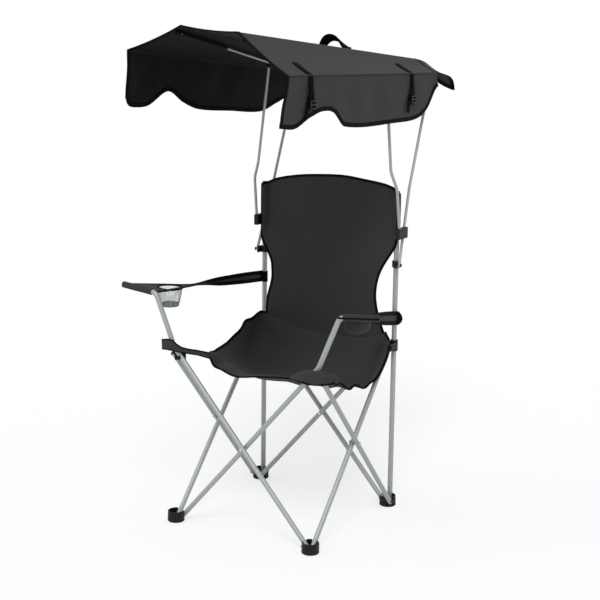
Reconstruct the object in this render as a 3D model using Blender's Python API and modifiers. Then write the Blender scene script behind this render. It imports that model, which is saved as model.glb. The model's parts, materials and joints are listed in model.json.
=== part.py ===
"""Folding camping chair with a sun canopy.

Four crossed pairs of steel tubes stand on four moulded feet and open a sling
seat between them. Two uprights carry the tall back and, on plastic clamps,
the two side frames of the canopy.

Frame: origin on the floor under the middle of the whole chair, +Z up, the
chair faces -Y and its left side is -X. Every piece is laid out from the
middle of the four feet and the whole is then centred. Lengths are in metres.
"""
import math

import bmesh
import bpy
from mathutils import Matrix, Vector

# Tubes
CLEARANCE = 0.0004
LEG_RADIUS = 0.0066
LEG_WALL = 0.0010
LEG_END = 0.007              # tube beyond its last pivot
UPRIGHT_RADIUS = 0.007
POLE_RADIUS = 0.004
RAIL_RADIUS = 0.003
CAP_LENGTH = 0.010
CAP_LIP = 0.002
SEATED_GAP = 0.0003
MERGE_DISTANCE = 0.000001

# Frame layout
FOOT_SPREAD = 0.210          # foot centre from the middle, along X and Y
PIVOT_INSET = 0.0165         # leg pivot inside its foot's centre
PIVOT_SPREAD = FOOT_SPREAD - PIVOT_INSET
PIVOT_HEIGHT = 0.018         # leg pivot in a foot above the floor
HUB_HEIGHT = 0.455           # upper leg pivots above the floor
LEG_PITCH = 2.0 * (LEG_RADIUS + CLEARANCE)
PLANE_INSET = 0.001
PLANE_NEAR = PIVOT_SPREAD - PLANE_INSET   # plane of the inner leg of a crossed pair
PLANE_FAR = PLANE_NEAR + LEG_PITCH        # plane of the outer leg of a crossed pair
SIDE_PLANE_OFFSET = 0.0005
SIDE_PLANE_INNER = FOOT_SPREAD + SIDE_PLANE_OFFSET
SIDE_PLANE_OUTER = SIDE_PLANE_INNER + LEG_PITCH
UPRIGHT_BACK = 0.0129        # upright axis behind its foot's centre
CLAMP_RISE = 0.225           # canopy clamp above the hubs
CLIP_RISE = 0.085            # snap clip above the clamp
CLAMP_HEIGHT = HUB_HEIGHT + CLAMP_RISE
CLIP_HEIGHT = CLAMP_HEIGHT + CLIP_RISE
BACK_SLEEVE_STAND = 0.025    # sleeve of the back above the snap clip's middle
BACK_SLEEVE_LENGTH = 0.078
BACK_SLEEVE_END = CLIP_HEIGHT + BACK_SLEEVE_STAND
UPRIGHT_TOP = BACK_SLEEVE_END + BACK_SLEEVE_LENGTH

# Arm posts, bent from the front legs
POST_START = 0.034           # straight run past the hub pivot
POST_LEAN = math.radians(23.0)
POST_LENGTH = 0.148
POST_BEND = 0.045
ARM_BAR_RISE = math.radians(5.5)
ARM_BAR_LENGTH = 0.104
ARM_BAR_BEND = 0.022

# Pins and rivets
PIN_RADIUS = 0.0027
PIN_HOLE_RADIUS = 0.0031
PIN_HEAD_RADIUS = 0.0048
PIN_HEAD = 0.0016

# Feet
FOOT_RADIUS = 0.023
FOOT_HEIGHT = 0.030
FOOT_WALL = 0.0027
FOOT_FLOOR = 0.0055
FOOT_CHAMFER = 0.004
FOOT_TAPER = 0.0012
BOSS_THICKNESS = 0.009
BOSS_HALF_WIDTH = 0.0045
BOSS_OUTBOARD_SHARE = 0.7
ROOM_SHARE = 0.45
PEG_HEIGHT = 0.008

# Hubs and sliders
PLATE = 0.003
PLATE_REACH = 0.0095
HUB_PLATE_RISE = 0.0130
SLEEVE_WALL = 0.0035
SLEEVE_HEIGHT = 0.030
SLEEVE_GAP = 0.0004
PLATE_ROUND_SHARE = 0.3
WEB_SHARE = 1.5

# Canopy side frames
CLIP_BLOCK = (0.0130, 0.052, 0.030)

# Poles and rails: out from the upright's axis, back from it, above the clamp
POLE_PIVOT = (0.0165, -0.0139)
REAR_POLE_BEND = (0.0050, 0.0561, 0.200)
REAR_POLE_TOP = (0.0030, 0.1691, 0.485)
FRONT_POLE_FOOT = (0.0165, -0.0169)
FRONT_POLE_ELBOW = (0.0145, -0.0329, 0.205)
FRONT_POLE_KNEE = (-0.0020, -0.0399, 0.252)
FRONT_POLE_TOP_BACK = -0.0329
RAIL_FRONT = {"left": (-0.122, -0.5729, 0.6121), "right": (-0.110, -0.5729, 0.5990)}
JOINT_BODY = 0.0065
JOINT_WALL = 0.0022
SOCKET_DEPTH = 0.009
POLE_BEND = 0.060
POLE_END_SHARE = 0.7
POLE_PIN_RADIUS = 0.0016
POLE_SIDE_GAP = 0.0010
CLAMP_RING = 0.018
CLIP_ROUND = 0.002

# Canopy cover: front and rear edge, corner places and heights
COVER_FRONT = -0.374
COVER_REAR = 0.405
COVER_FOLD_OUT = 0.0165      # fold outside the feet's centres
COVER_FOLD = FOOT_SPREAD + COVER_FOLD_OUT
COVER_THICKNESS = 0.0014
COVER_LINES = (-0.374, -0.365, -0.333, -0.290, -0.247, -0.205, -0.161, -0.117, -0.074,
               0.001, 0.076, 0.151, 0.226, 0.281, 0.315, 0.350, 0.385, 0.405)
RIDGE_FRONT = (-0.068, 0.092)
RIDGE_REAR = (-0.160, 0.160)
RIDGE_FRONT_RISE = (0.63, 0.618)
RIDGE_REAR_RISE = (0.536, 0.539)
FOLD_FRONT_RISE = (0.569, 0.523)
FOLD_REAR_RISE = (0.492, 0.503)
ROOF_SAG = 0.004
VALANCE_FLARE = 0.004
HEM_LEAN = (0.004, 0.034)
HEM_LEAN_REACH = 0.120
LEFT_HEM = ((-0.374, 0.456), (-0.365, 0.437), (-0.333, 0.43), (-0.288, 0.432), (-0.205, 0.463),
            (-0.14, 0.432), (-0.074, 0.411), (0.076, 0.398), (0.226, 0.388), (0.305, 0.406),
            (0.37, 0.425), (0.405, 0.445))
RIGHT_HEM = ((-0.374, 0.408), (-0.324, 0.403), (-0.271, 0.425), (-0.22, 0.436), (-0.164, 0.43),
             (-0.109, 0.393), (0.166, 0.385), (0.281, 0.389), (0.34, 0.412), (0.385, 0.458),
             (0.405, 0.47))
FLAP_LENGTH = 0.100
FLAP_FLARE = 0.006
FLAP_PROFILE = ((0.0, 0.0), (0.030, 0.006), (0.062, 0.014), (0.086, 0.022), (0.097, 0.032),
                (0.100, 0.048))

# Handle, straps and buckles
WEBBING = 0.0014
HANDLE_PLACE = (0.083, 0.085)
HANDLE_WIDTH = 0.022
HANDLE_PROFILE = ((-0.050, 0.0), (-0.040, 0.0), (-0.036, 0.006), (-0.028, 0.020), (-0.014, 0.028),
                  (0.0, 0.030), (0.014, 0.028), (0.028, 0.020), (0.036, 0.006), (0.040, 0.0),
                  (0.046, 0.0))
STRAP_PLACES = (-0.270, 0.250)
STRAP_WIDTH = 0.020
STRAP_UP_SLOPE = (0.045, 0.022, 0.003)
STRAP_DROPS = ((0.004, 0.0), (0.030, 0.0022), (0.052, 0.0044), (0.080, 0.0044))
STRAP_GAP = 0.0005
STRAP_TURN_SHARE = 0.6
BUCKLE = (0.0034, 0.027, 0.020)
BUCKLE_RISE = 0.013
BUCKLE_GAP = 0.0004
BUCKLE_SLOT_SHARES = (0.72, 0.22, 0.22)

# Sling: seat and back
SLING_THICKNESS = 0.0016
SEAM_GAP = 0.0006
SEAT_REAR = 0.2005
SEAT_LINES = (-0.1805, -0.160, -0.120, -0.080, -0.040, 0.0, 0.040, 0.080, 0.115, 0.142, 0.160,
              0.171, 0.178, 0.1815, 0.187, 0.194, 0.2005)
SEAT_COLUMN_SHARES = (-1.0, -0.975, -0.93, -0.86, -0.76, -0.6, -0.4, -0.2, 0.0, 0.2, 0.4, 0.6,
                      0.76, 0.86, 0.93, 0.975, 1.0)
SEAT_INSET = ((-0.1805, 0.022), (-0.060, 0.020), (0.050, 0.014), (0.150, 0.011), (0.2005, 0.018))
SEAT_CURVE_LINES = (-0.1805, -0.080, 0.040, 0.120, 0.160, 0.178, 0.187, 0.194, 0.2005)
SEAT_CURVE_SHARES = (2.2, 2.6, 4.5, 8.0, 9.0, 9.0, 5.0, 3.0, 2.2)
SEAT_WALL_LINES = (-0.060, 0.040, 0.110, 0.1795, 0.187, 0.2005)
SEAT_WALL_SHARES = (0.0, 0.55, 0.95, 0.95, 0.3, 0.0)
SEAT_WALL_POWER = 4.0
SEAT_MIDDLE = ((-0.1805, -0.027), (-0.080, -0.058), (0.050, -0.089), (0.120, -0.093),
               (0.156, -0.086), (0.171, -0.070), (0.1795, -0.042), (0.187, -0.014), (0.2005, 0.010))
SEAT_EDGE = ((-0.1805, 0.005), (-0.100, -0.014), (-0.050, -0.013), (0.0, -0.002), (0.090, 0.038),
             (0.160, 0.053), (0.2005, 0.047))
FRONT_TAB = (0.176, 0.1995)
FRONT_TAB_RISE = (-0.0045, 0.0090)
FRONT_TAB_LENGTH = 0.004
REAR_TAB = (0.1850, 0.1990)
BACK_TOP_SHARES = (-1.0, -0.78, -0.45, -0.1, 0.22, 0.5, 0.78, 1.0)
BACK_TOP_RISE = (0.0, 0.016, 0.031, 0.038, 0.040, 0.034, 0.026, 0.012)
BACK_EDGE_SHARES = (0.045, 0.209, 0.343, 0.463, 0.582, 0.701, 0.851, 0.985, 1.020, 1.400)
BACK_EDGE_INSET = (0.020, 0.023, 0.033, 0.038, 0.033, 0.021, 0.0130, 0.0112, 0.0083, 0.0083)
BACK_DEPTH_SHARES = (-0.045, 0.134, 0.313, 0.552, 0.791, 0.985, 1.400)
BACK_DEPTH = (-0.0217, -0.0204, -0.0189, -0.0159, -0.0089, 0.0, 0.0)
BACK_HOLLOW_SHARES = (0.0, 0.3, 0.7, 1.0)
BACK_HOLLOW = (0.0, 0.003, 0.003, -0.004)
BACK_COLUMNS = 17
BACK_ROWS = 17

# Arms
ARM_THICKNESS = 0.0016
LEFT_ARM_REAR = 0.145        # loop on the upright above the hubs
RIGHT_ARM_REAR = 0.076
ARM_SLEEVE_HEIGHT = 0.030
ARM_SLEEVE_START = 0.012
ARM_COLUMNS = 6
ARM_BAND_ROWS = 9
ARM_TWIST_SHARE = 2.0
ARM_PLAN = ((-0.203, 0.274, 0.384), (-0.180, 0.268, 0.376), (-0.155, 0.262, 0.360),
            (-0.130, 0.257, 0.340), (-0.105, 0.253, 0.315), (-0.085, 0.249, 0.286),
            (-0.066, 0.245, 0.262))
ARM_PAD_REAR_RISE = 0.0005

# Cup net and pouch under the pads
CUP_CENTRE = (0.292, -0.134)
CUP_RADIUS = 0.0275
CUP_FLANGE = 0.004
CUP_HOLE_GAP = 0.0012
CUP_MIDDLE_RADIUS = 0.0245
CUP_FLOOR_RADIUS = 0.020
CUP_DEPTH = 0.050
CUP_WALL = 0.0012
CUP_LIP_SHARE = 0.12
CUP_MIDDLE_SHARE = 0.6
CUP_SIDES = 24
POUCH_CENTRE = (0.292, -0.136)
POUCH_HALF = (0.024, 0.036)
POUCH_DEPTH = 0.0463         # below the arm bar's bend
POUCH_TAPER_SHARE = 0.15

# Counts
TUBE_SIDES_RESOLUTION = 4
THIN_SIDES_RESOLUTION = 2
BEND_STEPS = 5
TURN_STEPS = 24
VALANCE_STEP_SHARES = (0.0, 0.33, 0.67, 1.0)
ROOF_SPAN_COLUMNS = (4, 5, 4)
FLAP_COLUMNS = 12

LEFT, RIGHT = -1, 1


def clear_scene():
    for old in list(bpy.data.objects):
        bpy.data.objects.remove(old, do_unlink=True)
    for name in ("canopy_camping_chair", "cutters"):
        made = bpy.data.collections.new(name)
        bpy.context.scene.collection.children.link(made)


def principled(name, colour, roughness, metallic=0.0):
    made = bpy.data.materials.get(name)
    if made:
        return made
    made = bpy.data.materials.new(name)
    made.use_nodes = True
    shader = made.node_tree.nodes["Principled BSDF"]
    shader.inputs["Base Color"].default_value = (*colour, 1.0)
    shader.inputs["Roughness"].default_value = roughness
    shader.inputs["Metallic"].default_value = metallic
    return made


def steel():
    return principled("powder_coated_steel", (0.33, 0.37, 0.36), 0.38, 0.55)


def moulded():
    return principled("black_moulding", (0.012, 0.012, 0.013), 0.45)


def cloth():
    return principled("black_oxford_cloth", (0.020, 0.020, 0.021), 0.80)


def webbing():
    return principled("black_webbing", (0.008, 0.008, 0.008), 0.75)


def netting():
    return principled("pale_grey_mesh", (0.50, 0.52, 0.52), 0.70)


def rivet_steel():
    return principled("bright_rivet", (0.62, 0.63, 0.62), 0.30, 0.9)


def add_object(name, mesh, material, collection="canopy_camping_chair"):
    made = bpy.data.objects.new(name, mesh)
    mesh.materials.clear()
    mesh.materials.append(material)
    bpy.data.collections[collection].objects.link(made)
    return made


def add_cutter(name, mesh):
    made = bpy.data.objects.new(name, mesh)
    bpy.data.collections["cutters"].objects.link(made)
    made.hide_render = True
    made.display_type = "WIRE"
    return made


def boolean(target, tool, operation):
    step = target.modifiers.new(tool.name, "BOOLEAN")
    step.operation = operation
    step.object = tool
    step.solver = "EXACT"
    return step


def mesh_from(bm, name):
    bmesh.ops.recalc_face_normals(bm, faces=bm.faces)
    mesh = bpy.data.meshes.new(name)
    bm.to_mesh(mesh)
    bm.free()
    return mesh


def smooth(mesh, angle=math.radians(35.0)):
    mesh.shade_smooth()
    mesh.set_sharp_from_angle(angle=angle)


def axis_matrix(start, end):
    """Matrix that stands a Z cylinder between two points."""
    start, end = Vector(start), Vector(end)
    turn = (end - start).to_track_quat("Z", "Y").to_matrix().to_4x4()
    return Matrix.Translation((start + end) / 2.0) @ turn


def put_cylinder(bm, start, end, radius, sides=12):
    length = (Vector(end) - Vector(start)).length
    bmesh.ops.create_cone(bm, cap_ends=True, segments=sides, radius1=radius, radius2=radius,
                          depth=length, matrix=axis_matrix(start, end))


def put_box(bm, low, high):
    low, high = Vector(low), Vector(high)
    size = high - low
    place = Matrix.Translation((low + high) / 2.0) @ Matrix.Diagonal((*size, 1.0))
    bmesh.ops.create_cube(bm, size=1.0, matrix=place)


def cylinders_mesh(name, rods, sides=12):
    bm = bmesh.new()
    for start, end, radius in rods:
        put_cylinder(bm, start, end, radius, sides)
    return mesh_from(bm, name)


def boxes_mesh(name, boxes):
    bm = bmesh.new()
    for low, high in boxes:
        put_box(bm, low, high)
    return mesh_from(bm, name)


def prism_mesh(name, outline, low, high):
    """Upright block with the given outline seen from above."""
    bm = bmesh.new()
    base = [bm.verts.new((x, y, low)) for x, y in outline]
    top = [bm.verts.new((x, y, high)) for x, y in outline]
    bm.faces.new(base)
    bm.faces.new(top)
    for i in range(len(outline)):
        j = (i + 1) % len(outline)
        bm.faces.new((base[i], base[j], top[j], top[i]))
    return mesh_from(bm, name)


def bevel_edges(target, width, segments=2):
    step = target.modifiers.new("rounded_edges", "BEVEL")
    step.width = width
    step.segments = segments
    step.limit_method = "ANGLE"
    step.angle_limit = math.radians(40.0)
    return step


def fillet_path(corners, radii, steps=BEND_STEPS):
    """Points of a path whose inner corners are rounded."""
    corners = [Vector(c) for c in corners]
    points = [corners[0]]
    for before, here, after, radius in zip(corners, corners[1:], corners[2:], radii):
        into, out = (here - before).normalized(), (after - here).normalized()
        turn = into.angle(out)
        reach = radius * math.tan(turn / 2.0)
        start = here - into * reach
        normal = (out - into * into.dot(out)).normalized()
        centre = start + normal * radius
        for step in range(steps + 1):
            angle = turn * step / steps
            points.append(centre - normal * radius * math.cos(angle) + into * radius * math.sin(angle))
    points.append(corners[-1])
    return points


def swept(name, points, radius, resolution, caps):
    """Mesh of a round bar or an open pipe along a path."""
    curve = bpy.data.curves.new(name, "CURVE")
    curve.dimensions = "3D"
    curve.bevel_depth = radius
    curve.bevel_resolution = resolution
    curve.use_fill_caps = caps
    spline = curve.splines.new("POLY")
    spline.points.add(len(points) - 1)
    for point, place in zip(spline.points, points):
        point.co = (*place, 1.0)
    holder = bpy.data.objects.new(name, curve)
    bpy.context.scene.collection.objects.link(holder)
    graph = bpy.context.evaluated_depsgraph_get()
    mesh = bpy.data.meshes.new_from_object(holder.evaluated_get(graph))
    bpy.data.objects.remove(holder, do_unlink=True)
    bm = bmesh.new()
    bm.from_mesh(mesh)
    bmesh.ops.remove_doubles(bm, verts=bm.verts, dist=MERGE_DISTANCE)
    bmesh.ops.recalc_face_normals(bm, faces=bm.faces)
    bm.to_mesh(mesh)
    bm.free()
    mesh.name = name
    return mesh


def pipe(name, points, radius, wall, holes=()):
    """Steel tube with open ends, drilled for its pins."""
    mesh = swept(name, points, radius, TUBE_SIDES_RESOLUTION, False)
    point_out(mesh, points)
    tube = add_object(name, mesh, steel())
    shell = tube.modifiers.new("wall", "SOLIDIFY")
    shell.thickness = wall
    shell.offset = -1.0
    if holes:
        reach = radius + wall
        rods = [(Vector(at) - Vector(axis) * reach, Vector(at) + Vector(axis) * reach, PIN_HOLE_RADIUS)
                for at, axis in holes]
        drill = add_cutter(name + "_holes", cylinders_mesh(name + "_holes", rods, 8))
        boolean(tube, drill, "DIFFERENCE")
    smooth(mesh)
    return tube


def point_out(mesh, points):
    """Turn an open pipe's faces away from its axis."""
    face = mesh.polygons[0]
    nearest = min(points, key=lambda p: (Vector(p) - face.center).length)
    following = points[min(list(points).index(nearest) + 1, len(points) - 1)]
    preceding = points[max(list(points).index(nearest) - 1, 0)]
    along = (Vector(following) - Vector(preceding)).normalized()
    radial = face.center - Vector(nearest)
    radial -= along * radial.dot(along)
    if radial.dot(face.normal) < 0.0:
        mesh.flip_normals()


def bar(name, points, radius, material):
    mesh = swept(name, points, radius, THIN_SIDES_RESOLUTION, True)
    smooth(mesh)
    return add_object(name, mesh, material)


def front_point(spread, plane, height):
    return Vector((spread, -plane, height))


# Lower frame: each leg runs from a foot pivot to a hub or slider pivot

LEG_DIRECTION = Vector((2.0 * PIVOT_SPREAD, 0.0, HUB_HEIGHT - PIVOT_HEIGHT)).normalized()
CROSS_HEIGHT = (PIVOT_HEIGHT + HUB_HEIGHT) / 2.0
AXIS_X = Vector((1.0, 0.0, 0.0))
AXIS_Y = Vector((0.0, 1.0, 0.0))


def straight_leg(name, low, high, axis):
    low, high = Vector(low), Vector(high)
    along = (high - low).normalized()
    ends = [low - along * LEG_END, high + along * LEG_END]
    holes = [(low, axis), ((low + high) / 2.0, axis), (high, axis)]
    return pipe(name, ends, LEG_RADIUS, LEG_WALL, holes)


def bent_front_leg(name, top_side, plane):
    """Front leg that rises to a hub and bends on into the arm post."""
    low = front_point(-top_side * PIVOT_SPREAD, plane, PIVOT_HEIGHT)
    high = front_point(top_side * PIVOT_SPREAD, plane, HUB_HEIGHT)
    along = (high - low).normalized()
    post = Vector((top_side * math.sin(POST_LEAN), 0.0, math.cos(POST_LEAN)))
    level = Vector((top_side * math.cos(ARM_BAR_RISE), 0.0, math.sin(ARM_BAR_RISE)))
    lower_bend = high + along * POST_START
    upper_bend = lower_bend + post * POST_LENGTH
    end = upper_bend + level * ARM_BAR_LENGTH
    path = fillet_path([low - along * LEG_END, lower_bend, upper_bend, end], [POST_BEND, ARM_BAR_BEND])
    holes = [(low, AXIS_Y), ((low + high) / 2.0, AXIS_Y), (high, AXIS_Y)]
    return pipe(name, path, LEG_RADIUS, LEG_WALL, holes)


def lower_frame():
    bent_front_leg("front_leg_and_left_arm_post", LEFT, PLANE_FAR)
    bent_front_leg("front_leg_and_right_arm_post", RIGHT, PLANE_NEAR)
    for side, word in ((LEFT, "left"), (RIGHT, "right")):
        outer, inner = side * SIDE_PLANE_OUTER, side * SIDE_PLANE_INNER
        straight_leg(word + "_side_outer_leg", (outer, PIVOT_SPREAD, PIVOT_HEIGHT),
                     (outer, -PIVOT_SPREAD, HUB_HEIGHT), AXIS_X)
        straight_leg(word + "_side_inner_leg", (inner, -PIVOT_SPREAD, PIVOT_HEIGHT),
                     (inner, PIVOT_SPREAD, HUB_HEIGHT), AXIS_X)
    straight_leg("rear_leg_to_left_slider", (PIVOT_SPREAD, PLANE_FAR, PIVOT_HEIGHT),
                 (-PIVOT_SPREAD, PLANE_FAR, HUB_HEIGHT), AXIS_Y)
    straight_leg("rear_leg_to_right_slider", (-PIVOT_SPREAD, PLANE_NEAR, PIVOT_HEIGHT),
                 (PIVOT_SPREAD, PLANE_NEAR, HUB_HEIGHT), AXIS_Y)


def upright_axis(side):
    return Vector((side * FOOT_SPREAD, FOOT_SPREAD + UPRIGHT_BACK, 0.0))


def uprights():
    for side, word in ((LEFT, "left"), (RIGHT, "right")):
        axis = upright_axis(side)
        bottom = axis + Vector((0.0, 0.0, FOOT_FLOOR + SEATED_GAP))
        top = axis + Vector((0.0, 0.0, UPRIGHT_TOP))
        pipe(word + "_upright", [bottom, top], UPRIGHT_RADIUS, LEG_WALL)
        plug(word + "_upright_cap", top, UPRIGHT_RADIUS, LEG_WALL, Vector((0.0, 0.0, 1.0)))


def plug(name, at, radius, wall, along):
    """Plastic plug: a stem inside the tube and a lip that covers its end."""
    stem = radius - wall - CLEARANCE
    at = Vector(at)
    lip_foot = at + along * CLEARANCE
    lip_top = lip_foot + along * CAP_LIP
    bm = bmesh.new()
    put_cylinder(bm, at - along * CAP_LENGTH, lip_foot + along * (CAP_LIP / 2.0), stem, 12)
    stem_mesh = mesh_from(bm, name + "_stem")
    head = add_object(name, cylinders_mesh(name, [(lip_foot, lip_top, radius)], 16), moulded())
    boolean(head, add_cutter(name + "_stem", stem_mesh), "UNION")
    return head


def leg_caps():
    for top_side, plane, word in ((LEFT, PLANE_FAR, "left"), (RIGHT, PLANE_NEAR, "right")):
        high = front_point(top_side * PIVOT_SPREAD, plane, HUB_HEIGHT)
        low = front_point(-top_side * PIVOT_SPREAD, plane, PIVOT_HEIGHT)
        along = (high - low).normalized()
        post = Vector((top_side * math.sin(POST_LEAN), 0.0, math.cos(POST_LEAN)))
        level = Vector((top_side * math.cos(ARM_BAR_RISE), 0.0, math.sin(ARM_BAR_RISE)))
        end = high + along * POST_START + post * POST_LENGTH + level * ARM_BAR_LENGTH
        plug(word + "_arm_bar_cap", end, LEG_RADIUS, LEG_WALL, level)


def rivet(name, low, high, axis):
    """Rivet through two crossed tubes, with a head at each end."""
    middle = (Vector(low) + Vector(high)) / 2.0
    half = (Vector(high) - Vector(low)).length / 2.0 + LEG_RADIUS + CLEARANCE
    rods = [(middle - axis * (half + PIN_HEAD / 2.0), middle + axis * (half + PIN_HEAD / 2.0), PIN_RADIUS)]
    made = add_object(name, cylinders_mesh(name, rods, 12), rivet_steel())
    heads = [(middle + axis * half * sign, middle + axis * (half + PIN_HEAD) * sign, PIN_HEAD_RADIUS)
             for sign in (-1.0, 1.0)]
    boolean(made, add_cutter(name + "_heads", cylinders_mesh(name + "_heads", heads, 12)), "UNION")
    return made


def cross_rivets():
    rivet("front_crossing_rivet", (0.0, -PLANE_FAR, CROSS_HEIGHT), (0.0, -PLANE_NEAR, CROSS_HEIGHT), AXIS_Y)
    rivet("rear_crossing_rivet", (0.0, PLANE_NEAR, CROSS_HEIGHT), (0.0, PLANE_FAR, CROSS_HEIGHT), AXIS_Y)
    for side, word in ((LEFT, "left"), (RIGHT, "right")):
        rivet(word + "_crossing_rivet", (side * SIDE_PLANE_INNER, 0.0, CROSS_HEIGHT),
              (side * SIDE_PLANE_OUTER, 0.0, CROSS_HEIGHT), AXIS_X)


def turned_cup(name, centre):
    """Closed solid of the foot's outer shape, with a rounded rim and base."""
    bm = bmesh.new()
    half_height = FOOT_HEIGHT / 2.0
    bmesh.ops.create_cone(bm, cap_ends=True, segments=TURN_STEPS, radius1=FOOT_RADIUS,
                          radius2=FOOT_RADIUS - FOOT_TAPER, depth=FOOT_HEIGHT,
                          matrix=Matrix.Translation(centre + Vector((0.0, 0.0, half_height))))
    rim = [e for e in bm.edges if len(e.link_faces) == 2
           and any(len(f.verts) > 4 for f in e.link_faces)]
    bmesh.ops.bevel(bm, geom=rim, offset=FOOT_CHAMFER / 2.0, segments=1, affect="EDGES")
    return mesh_from(bm, name)


def foot(name, side_x, side_y, cross_plane, side_plane):
    """Cup with slots for its leg ends and a pin through each of them."""
    centre = Vector((side_x * FOOT_SPREAD, side_y * FOOT_SPREAD, 0.0))
    cup = add_object(name, turned_cup(name, centre), moulded())
    smooth(cup.data)
    slot = LEG_RADIUS + 2.0 * CLEARANCE
    pivot_x, pivot_y = side_x * PIVOT_SPREAD, side_y * PIVOT_SPREAD
    leg_y, leg_x = side_y * cross_plane, side_x * side_plane
    top = FOOT_HEIGHT + FOOT_WALL
    hollow = cylinders_mesh(name + "_hollow", [
        (centre + Vector((0.0, 0.0, FOOT_FLOOR)), centre + Vector((0.0, 0.0, top)),
         FOOT_RADIUS - FOOT_WALL)], TURN_STEPS)
    boolean(cup, add_cutter(name + "_hollow", hollow), "DIFFERENCE")
    end_room = LEG_END + LEG_RADIUS * ROOM_SHARE
    cross_low, cross_high = sorted((pivot_x + side_x * end_room, pivot_x - side_x * FOOT_RADIUS))
    side_low, side_high = sorted((pivot_y + side_y * end_room, pivot_y - side_y * FOOT_RADIUS))
    cross_slot = boxes_mesh(name + "_cross_slot", [
        ((cross_low, leg_y - slot, FOOT_FLOOR), (cross_high, leg_y + slot, top))])
    boolean(cup, add_cutter(name + "_cross_slot", cross_slot), "DIFFERENCE")
    side_slot = boxes_mesh(name + "_side_slot", [
        ((leg_x - slot, side_low, FOOT_FLOOR), (leg_x + slot, side_high, top))])
    boolean(cup, add_cutter(name + "_side_slot", side_slot), "DIFFERENCE")
    boolean(cup, add_cutter(name + "_boss", foot_boss(name, side_x, pivot_y, leg_x)), "UNION")
    boolean(cup, add_cutter(name + "_pins", foot_pins(name, side_x, side_y, leg_x, leg_y)), "UNION")
    boolean(cup, add_cutter(name + "_heads", foot_heads(name, side_x, side_y, leg_x, leg_y)), "UNION")
    return cup


def carried_outboard(leg_x):
    """True where the side leg's pin is held on the leg's outboard side."""
    return abs(leg_x) < SIDE_PLANE_OUTER


def foot_boss(name, side_x, pivot_y, leg_x):
    """Block on the floor of the cup that holds the side leg's pin."""
    beside = LEG_RADIUS + 2.0 * CLEARANCE
    if carried_outboard(leg_x):
        near, far = abs(leg_x) + beside, abs(leg_x) + beside + BOSS_THICKNESS * BOSS_OUTBOARD_SHARE
    else:
        near, far = abs(leg_x) - beside - BOSS_THICKNESS, abs(leg_x) - beside
    low, high = sorted((side_x * near, side_x * far))
    return boxes_mesh(name + "_boss", [
        ((low, pivot_y - BOSS_HALF_WIDTH, FOOT_FLOOR / 2.0),
         (high, pivot_y + BOSS_HALF_WIDTH, PIVOT_HEIGHT + BOSS_HALF_WIDTH))])


def foot_pins(name, side_x, side_y, leg_x, leg_y):
    pivot_x, pivot_y = side_x * PIVOT_SPREAD, side_y * PIVOT_SPREAD
    half_chord = math.sqrt(FOOT_RADIUS ** 2 - (FOOT_SPREAD - PIVOT_SPREAD) ** 2)
    wall_y = side_y * (FOOT_SPREAD + half_chord - FOOT_WALL / 2.0)
    head_y = leg_y - side_y * (LEG_RADIUS + CLEARANCE + PIN_HEAD / 2.0)
    held = LEG_RADIUS + 2.0 * CLEARANCE + BOSS_THICKNESS / 2.0
    if carried_outboard(leg_x):
        start_x, end_x = leg_x + side_x * held, leg_x - side_x * (LEG_RADIUS - LEG_WALL / 2.0)
    else:
        start_x, end_x = leg_x - side_x * held, leg_x + side_x * (LEG_RADIUS + CLEARANCE + PIN_HEAD / 2.0)
    rods = [
        (Vector((pivot_x, wall_y, PIVOT_HEIGHT)), Vector((pivot_x, head_y, PIVOT_HEIGHT)), PIN_RADIUS),
        (Vector((start_x, pivot_y, PIVOT_HEIGHT)), Vector((end_x, pivot_y, PIVOT_HEIGHT)), PIN_RADIUS)]
    if side_y > 0:
        axis = upright_axis(side_x)
        peg = UPRIGHT_RADIUS - LEG_WALL - CLEARANCE
        rods.append((axis + Vector((0.0, 0.0, FOOT_FLOOR / 2.0)),
                     axis + Vector((0.0, 0.0, FOOT_FLOOR + PEG_HEIGHT)), peg))
    return cylinders_mesh(name + "_pins", rods, 12)


def foot_heads(name, side_x, side_y, leg_x, leg_y):
    pivot_x, pivot_y = side_x * PIVOT_SPREAD, side_y * PIVOT_SPREAD
    head_y = leg_y - side_y * (LEG_RADIUS + CLEARANCE)
    heads = [(Vector((pivot_x, head_y, PIVOT_HEIGHT)),
              Vector((pivot_x, head_y - side_y * PIN_HEAD, PIVOT_HEIGHT)), PIN_HEAD_RADIUS)]
    if not carried_outboard(leg_x):
        head_x = leg_x + side_x * (LEG_RADIUS + CLEARANCE)
        heads.append((Vector((head_x, pivot_y, PIVOT_HEIGHT)),
                      Vector((head_x + side_x * PIN_HEAD, pivot_y, PIVOT_HEIGHT)), PIN_HEAD_RADIUS))
    return cylinders_mesh(name + "_heads", heads, 12)


def feet():
    foot("front_left_foot", LEFT, -1, PLANE_NEAR, SIDE_PLANE_INNER)
    foot("front_right_foot", RIGHT, -1, PLANE_FAR, SIDE_PLANE_INNER)
    foot("rear_left_foot", LEFT, 1, PLANE_NEAR, SIDE_PLANE_OUTER)
    foot("rear_right_foot", RIGHT, 1, PLANE_FAR, SIDE_PLANE_OUTER)


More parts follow.
